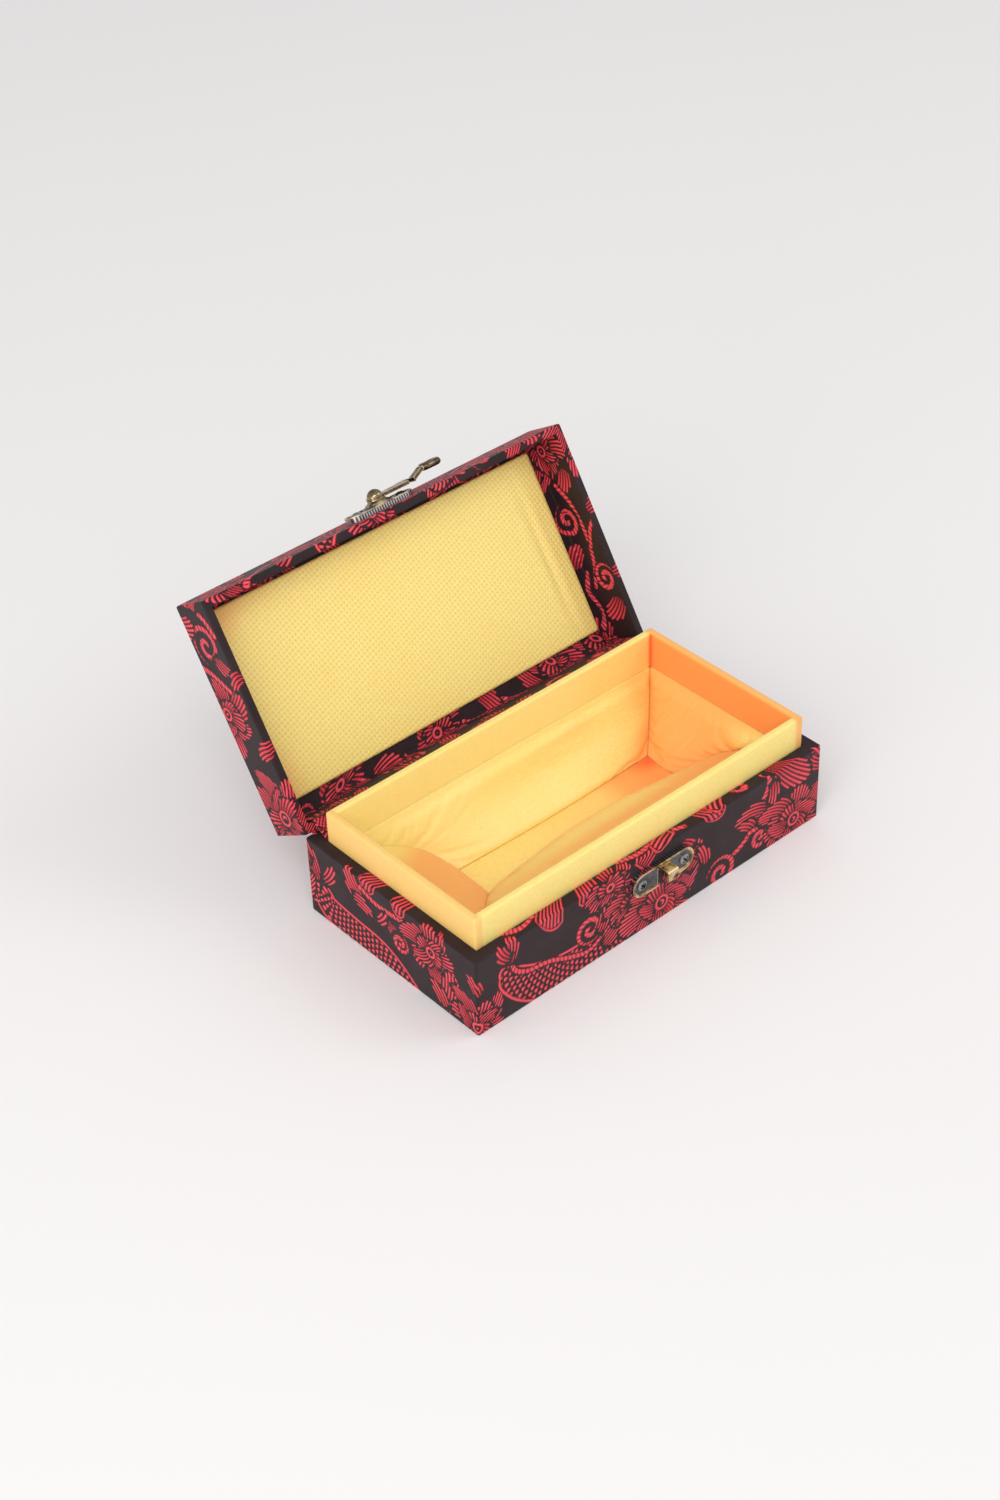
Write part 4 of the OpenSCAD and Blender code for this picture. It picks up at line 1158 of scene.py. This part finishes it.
class BOX_OT_lining(bpy.types.Operator):
    """Four wadded satin pads and the satin floor pad"""
    bl_idname = "keepsake.lining"
    bl_label = "Wadded lining"

    def execute(self, context):
        stuff = named_material(satin_material, "slack_satin")
        for name in PADS:
            points, cloth, tone = lining_pad(name)
            piece = closed_sheet("satin_pad_" + name, points, cloth, {"painted_shade_and_light": tone})
            dress(piece, "base", "yellow_satin", stuff, "lining_pad_" + name)

        # Floor pad: drawn flat, with shallow creases
        half_x, low_y, high_y = TRAY_X - 0.1, TRAY_FRONT + 0.1, TRAY_BACK - 0.1
        x, y = np.meshgrid(np.linspace(-half_x, half_x, 200), np.linspace(low_y, high_y, 110))
        z = 6.42 + soft_creases(x + TRAY_X, y - TRAY_FRONT, 2 * TRAY_X, 74, 21, 12, 0.1, 0.12,
                                (1.0, 2.5))
        # Painted shade on the floor pad: orange towards the right end, deeper in the right back
        # corner
        tone = 0.05 + 0.3 * smooth_share(x, -30, 30) + 0.9 * smooth_share(x, 25, 52) \
            + 0.7 * smooth_share(x, 44, 60) * smooth_share(y, 8, 18)
        points = backed(np.stack([x, y, np.clip(z, 6.3, 6.55)], -1), 5.02)
        piece = closed_sheet("satin_floor", points, points[..., :2],
                             {"painted_shade_and_light": np.pad(tone, ((1, 1), (0, 0)), "edge")})
        dress(piece, "base", "yellow_satin", stuff, "floor_satin_pad")
        return {"FINISHED"}


class BOX_OT_neck_satin(bpy.types.Operator):
    """Satin over the neck's boards, with the flat band inside"""
    bl_idname = "keepsake.neck_satin"
    bl_label = "Neck satin"

    def execute(self, context):
        nx = neck_high.x / MM
        nf, nb, top = neck_low.y / MM, neck_high.y / MM, neck_high.z / MM
        half_y, centre = (nb - nf) / 2, (nb + nf) / 2
        wide, thin, foot, band = 3.0, 0.38, top - 24, top - 16.5
        line, travelled = closed_profile((
            (0, foot, 0, 1.2), (0, top, 0.9, 0.5), (wide, top, 0.9, 1.0), (wide, band, 0, 1),
            (wide - thin, band, 0, 4), (wide - thin, top - thin, 0, 2),
            (thin, top - thin, 0, 6), (thin, foot, 0, 1)))
        columns = ring_columns(nx, half_y, 1.0)
        points = swept_ring(line, columns, nx, half_y, centre, 0.9, 0.3)
        x, y, way = points[..., 0], points[..., 1], travelled[:, None]
        inside = smooth_share(way, 26.0, 27.5)
        edge = np.exp(-((way - 23.6) / 0.5) ** 2)
        at_right = smooth_share(x, nx - 4.2, nx - 3.4)
        at_left = smooth_share(-x, nx - 3.6, nx - 2.8)
        at_back = smooth_share(y, nb - 4.2, nb - 3.4) * (1 - at_right)
        # Painted shade and light: orange shade on the outside left and right faces, on the right
        # inside wall and its rim, and in the back right corner; a pale painted highlight on the
        # left of the back band
        painted_shade_and_light = inside * (1.4 * at_right + at_back * (0.75 * smooth_share(x, 30, 76) - 0.4)) \
            + (1 - inside) * (0.42 * at_left + 0.7 * at_right + 0.05) + 0.5 * edge * at_right \
            + 0.6 * inside * spot(x, y, nx - 3.2, nb - 3.2, 0.8, 0.8)
        piece = ring_sheet("neck_satin", points, columns, travelled, {"painted_shade_and_light": painted_shade_and_light})
        dress(piece, "base", "yellow_satin",
              named_material(satin_material, "taut_satin", 1150.0, 0.0, 0.42),
              "neck_satin_cover")
        return {"FINISHED"}


# The lid's panel with the lid shut, in millimetres: its rectangle, its back and its corners
PANEL_LOW, PANEL_HIGH, PANEL_BACK, PANEL_CORNER = (-77.0, -39.0), (77.0, 36.1), 51.1, 1.6


class BOX_OT_lid_panel(bpy.types.Operator):
    """Satin panel drawn over thin wadding inside the lid"""
    bl_idname = "keepsake.lid_panel"
    bl_label = "Lid panel"

    def execute(self, context):
        (x0, y0), (x1, y1) = PANEL_LOW, PANEL_HIGH
        cx, cy, half_x, half_y = (x0 + x1) / 2, (y0 + y1) / 2, (x1 - x0) / 2, (y1 - y0) / 2
        x, y = np.meshgrid(np.linspace(x0, x1, 260), np.linspace(y0, y1, 130))

        # Corners: each square ring in them is pulled in to a quarter circle
        qx = np.clip(np.abs(x - cx) - (half_x - PANEL_CORNER), 0, None)
        qy = np.clip(np.abs(y - cy) - (half_y - PANEL_CORNER), 0, None)
        big, far = np.maximum(qx, qy), np.maximum(np.hypot(qx, qy), 1e-9)
        pull = np.where((qx > 0) & (qy > 0), big / far, 1.0)
        x = np.where(qx > 0, x + np.sign(x - cx) * qx * (pull - 1), x)
        y = np.where(qy > 0, y + np.sign(y - cy) * qy * (pull - 1), y)

        # Thickness: a rolled edge, a slight body and creases, three of them upright
        edge = np.clip(np.minimum(half_x - np.abs(x - cx), half_y - np.abs(y - cy)), 0, None)
        roll = np.sqrt(np.clip(1 - (1 - np.clip(edge / 1.3, 0, 1)) ** 2, 0, 1))
        body = 1 - (1 - np.clip(edge / 22, 0, 1)) ** 2
        fold = soft_creases(x - x0, y - y0, 154, 75, 31, 16, 1.4, 0.09, (1.5, 4.0))
        for at, rise, wide in ((66.5, -0.34, 1.6), (70.0, 0.3, 1.8), (62.5, 0.2, 2.2)):
            fold += rise * np.exp(-((x - at - 0.03 * y) / wide) ** 2) * np.exp(
                -((y - 2) / 26) ** 2)
        thick = 0.12 + 0.5 * roll + 0.38 * body + fold * np.clip(edge / 4, 0, 1)
        points = backed(np.stack([x, y, PANEL_BACK - np.clip(thick, 0.1, 1.08)], -1),
                        PANEL_BACK)
        px, py = points[..., 0], points[..., 1]
        # Painted shade on the panel: orange patches at its two left corners, along its upright
        # creases and along the left of its front edge
        painted_shade_and_light = 0.5 * spot(px, py, -74, -33, 9, 9) + 0.45 * spot(px, py, -75, 28, 9, 13) \
            + 0.3 * spot(px, py, 69, 4, 1.2, 24) + 0.3 * spot(px, py, -62, -37, 16, 4) - 0.03
        points_open = turn_open(points, context.scene.box_sizes.open_angle)
        piece = closed_sheet("lid_satin_panel", points_open, points[..., :2], {"painted_shade_and_light": painted_shade_and_light},
                             outward=False)
        dress(piece, "lid", "gold_satin",
              named_material(satin_material, "panel_satin", 2400.0, 0.7, 0.35),
              "lid_panel_satin")
        return {"FINISHED"}


class BOX_OT_carcass(bpy.types.Operator):
    """Board, card, hinge cloth and bottom cloth materials on the CAD pieces"""
    bl_idname = "keepsake.carcass"
    bl_label = "Carcass"

    def execute(self, context):
        board, plain = board_material(), plain_cloth_material()
        for name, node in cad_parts.items():
            if name.endswith(("_board", "_card")):
                finish_with(node, board)
            elif name == "base_bottom_cloth" or name.startswith("hinge_"):
                finish_with(node, plain)
        return {"FINISHED"}


class BOX_OT_hinge_cloths(bpy.types.Operator):
    """The outer hinge cloth and the inner strip, each one sheet from base to lid"""
    bl_idname = "keepsake.hinge_cloths"
    bl_label = "Hinge cloths"

    def execute(self, context):
        stuff = named_material(brocade_material, "brocade_cloth")
        angle = context.scene.box_sizes.open_angle

        def on_lid(*places):
            """Places (y, z) on the shut lid, turned open with it."""
            points = np.array([(0.0, y, z) for y, z in places])
            return turn_open(points, angle)[:, 1:].tolist()

        outer = [(45.77, 18.0), (45.77, 25.0), (45.77, 31.0), (45.77, 33.2), (45.84, 33.75),
                 (46.1, 33.95), (46.42, 33.8),
                 *on_lid((45.75, 36.2), (45.75, 37.2), (45.75, 41.0), (45.75, 46.5))]
        inner = [(40.44, 14.0), (40.44, 24.0), (40.44, 32.0), (40.44, 33.7), (40.7, 34.3),
                 (42.2, 35.0), (44.2, 35.95), (46.4, 37.0), (47.3, 37.45),
                 *on_lid((42.05, 35.2), (42.05, 36.2), (42.05, 44.9))]
        half_thick, step = 0.2, 0.8
        for name, path, half_x, start, end in (
                ("hinge_cloth", outer, 81.4, (0, 0.0460, 0), (0, 0.0464, 0)),
                ("hinge_strip", inner, 80.1, (0, 0.0410, 0), (0, 0.0473, 0))):
            # Section: the path moved out by half the thickness to either side
            line = smooth_line(path, 6)
            way = np.gradient(line, axis=0)
            way /= np.linalg.norm(way, axis=1)[:, None]
            normal = np.stack([way[:, 1], -way[:, 0]], -1)
            ring = np.concatenate([line + normal * half_thick,
                                   (line - normal * half_thick)[::-1]])
            run = np.concatenate([[0], np.cumsum(np.linalg.norm(np.diff(line, axis=0),
                                                                axis=1))])
            x = np.linspace(-half_x, half_x, math.ceil(2 * half_x / step))
            x, v, y, z = np.broadcast_arrays(x, *(a[:, None] for a in (
                np.concatenate([run, run[::-1]]), ring[:, 0], ring[:, 1])))
            figure = woven_design(x.ravel(), 6 + v.ravel(), TOP_DESIGN)
            piece = closed_sheet(name, np.stack([x, y, z], -1), np.stack([x, v], -1),
                                 {"figure": figure}, outward=False)
            finish_with(piece, stuff)
            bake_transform(piece)
            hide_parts(name + "_base", name + "_lid")
        return {"FINISHED"}


class BOX_OT_hasp(bpy.types.Operator):
    """Antique brass and steel on plates, hook, rivet and screws"""
    bl_idname = "keepsake.hasp"
    bl_label = "Hasp"

    def execute(self, context):
        # Each plate's middle in metres, and the direction across it
        staple = ((0.0015, -0.0455, 0.0236), (0.0, 0.0, 1.0))
        ends = turn_open(np.array([[1.5, -45.5, 43.0], [1.5, -45.5, 44.0]]),
                         context.scene.box_sizes.open_angle)
        hasp = (tuple(ends[0] * MM), tuple(ends[1] - ends[0]))
        for name, stuff in (
                ("staple_plate", brass_material("antique_brass_staple", 0.2, staple)),
                ("hasp_plate", brass_material("antique_brass_plate", 0.1, hasp)),
                ("swing_hook", brass_material("antique_brass_hook", 0.2)),
                ("hook_rivet", brass_material("antique_brass_rivet", 0.3)),
                ("staple_screws", steel_material("blackened_staple_screws", staple)),
                ("hasp_screws", steel_material("blackened_hasp_screws", hasp))):
            finish_with(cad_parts[name], stuff)
        return {"FINISHED"}


# Lamps: place and aim in metres, width, and power as a share of the soft box's
LAMPS = {
    "soft_box": ((-1.35, -1.15, 1.8), (0.0, 0.02, 0.04), 1.9, 1.0),
    "left_card": ((-1.6, -0.4, 0.5), (0.0, 0.0, 0.04), 1.0, 0.24),
    "fill_card": ((1.3, -1.0, 1.4), (0.0, 0.0, 0.04), 1.2, 0.25),
}
# Camera: azimuth, elevation and roll in degrees, the point it looks at and how far off it is
CAMERA_ANGLES = (-40.56, 38.16, -2.23)
CAMERA_AIM, CAMERA_DISTANCE = (0.0262, 0.0674, 0.0), 0.9921


def place_in_scene(data, matrix):
    """Puts a lamp or the camera into the scene at this matrix."""
    holder = bpy.data.objects.new(data.name, data)
    bpy.context.scene.collection.objects.link(holder)
    holder.matrix_world = matrix
    return holder


def camera_matrix():
    """Place and turn of the camera: it looks along its -Z at its aim from its distance, and
    is rolled about that line."""
    az, el, roll = (math.radians(a) for a in CAMERA_ANGLES)
    back = np.array([math.sin(az) * math.cos(el), -math.cos(az) * math.cos(el),
                     math.sin(el)])
    right = np.cross(-back, (0, 0, 1))
    right /= np.linalg.norm(right)
    up = np.cross(right, -back)
    matrix = np.eye(4)
    matrix[:3, 0] = math.cos(roll) * right + math.sin(roll) * up
    matrix[:3, 1] = -math.sin(roll) * right + math.cos(roll) * up
    matrix[:3, 2] = back
    matrix[:3, 3] = np.array(CAMERA_AIM) + CAMERA_DISTANCE * back
    return mathutils.Matrix(matrix.tolist())


class BOX_OT_stage(bpy.types.Operator):
    """Pale floor, soft light and the camera"""
    bl_idname = "keepsake.stage"
    bl_label = "Stage"

    def execute(self, context):
        scene = context.scene
        look = scene.stage_look
        far, low, lines = 4000, -0.02, 9
        x, y = np.meshgrid(*[np.linspace(-far, far, lines)] * 2)
        quads, _ = grid_faces(lines, lines)
        floor = add_mesh("pale_floor", np.stack([x, y, 0 * x + low], -1), quads)
        finish_with(floor, floor_material())

        world = bpy.data.worlds.new("room")
        scene.world = world
        world.use_nodes = True
        background = world.node_tree.nodes["Background"]
        background.inputs["Color"].default_value = (1.0, 0.99, 0.985, 1.0)
        background.inputs["Strength"].default_value = look.sky

        for name, (at, aim, size, share) in LAMPS.items():
            lamp = bpy.data.lights.new(name, "AREA")
            lamp.shape = "DISK"
            lamp.size = size
            lamp.energy = look.key * share
            lamp.color = (1.0, 0.99, 0.975)
            turn = (mathutils.Vector(aim) - mathutils.Vector(at)).to_track_quat("-Z", "Y")
            place_in_scene(lamp, mathutils.Matrix.LocRotScale(at, turn, None))

        camera = bpy.data.cameras.new("camera")
        camera.sensor_width = 36.0
        camera.lens = look.focal
        camera.clip_end = 50.0
        scene.camera = place_in_scene(camera, camera_matrix())
        scene.view_settings.view_transform = "Standard"
        return {"FINISHED"}


STEPS = (BOX_OT_stage, BOX_OT_carcass, BOX_OT_base_brocade, BOX_OT_lid_brocade,
         BOX_OT_hinge_cloths, BOX_OT_neck_satin, BOX_OT_lining, BOX_OT_lid_panel, BOX_OT_hasp)
GROUPS = {"box_sizes": BoxSizes, "cloth_colours": ClothColours, "brass_colours": BrassColours,
          "stage_look": StageLook}


class BOX_PT_panel(bpy.types.Panel):
    """Lists the steps and their settings"""
    bl_idname = "BOX_PT_keepsake"
    bl_label = "Keepsake Box"
    bl_space_type = "VIEW_3D"
    bl_region_type = "UI"
    bl_category = "Keepsake Box"

    def draw(self, context):
        for name in GROUPS:
            group, box = getattr(context.scene, name), self.layout.box()
            for key in group.__annotations__:
                box.prop(group, key)
        for step in STEPS:
            self.layout.operator(step.bl_idname)


def register():
    for group in (*GROUPS.values(), *STEPS, BOX_PT_panel):
        bpy.utils.register_class(group)
    for name, group in GROUPS.items():
        setattr(bpy.types.Scene, name, PointerProperty(type=group))


def unregister():
    for name in GROUPS:
        delattr(bpy.types.Scene, name)
    for group in (BOX_PT_panel, *STEPS[::-1], *GROUPS.values()):
        bpy.utils.unregister_class(group)


def main():
    register()
    for step in STEPS:
        area, name = step.bl_idname.split(".")
        getattr(getattr(bpy.ops, area), name)()


if __name__ == "__main__":
    main()
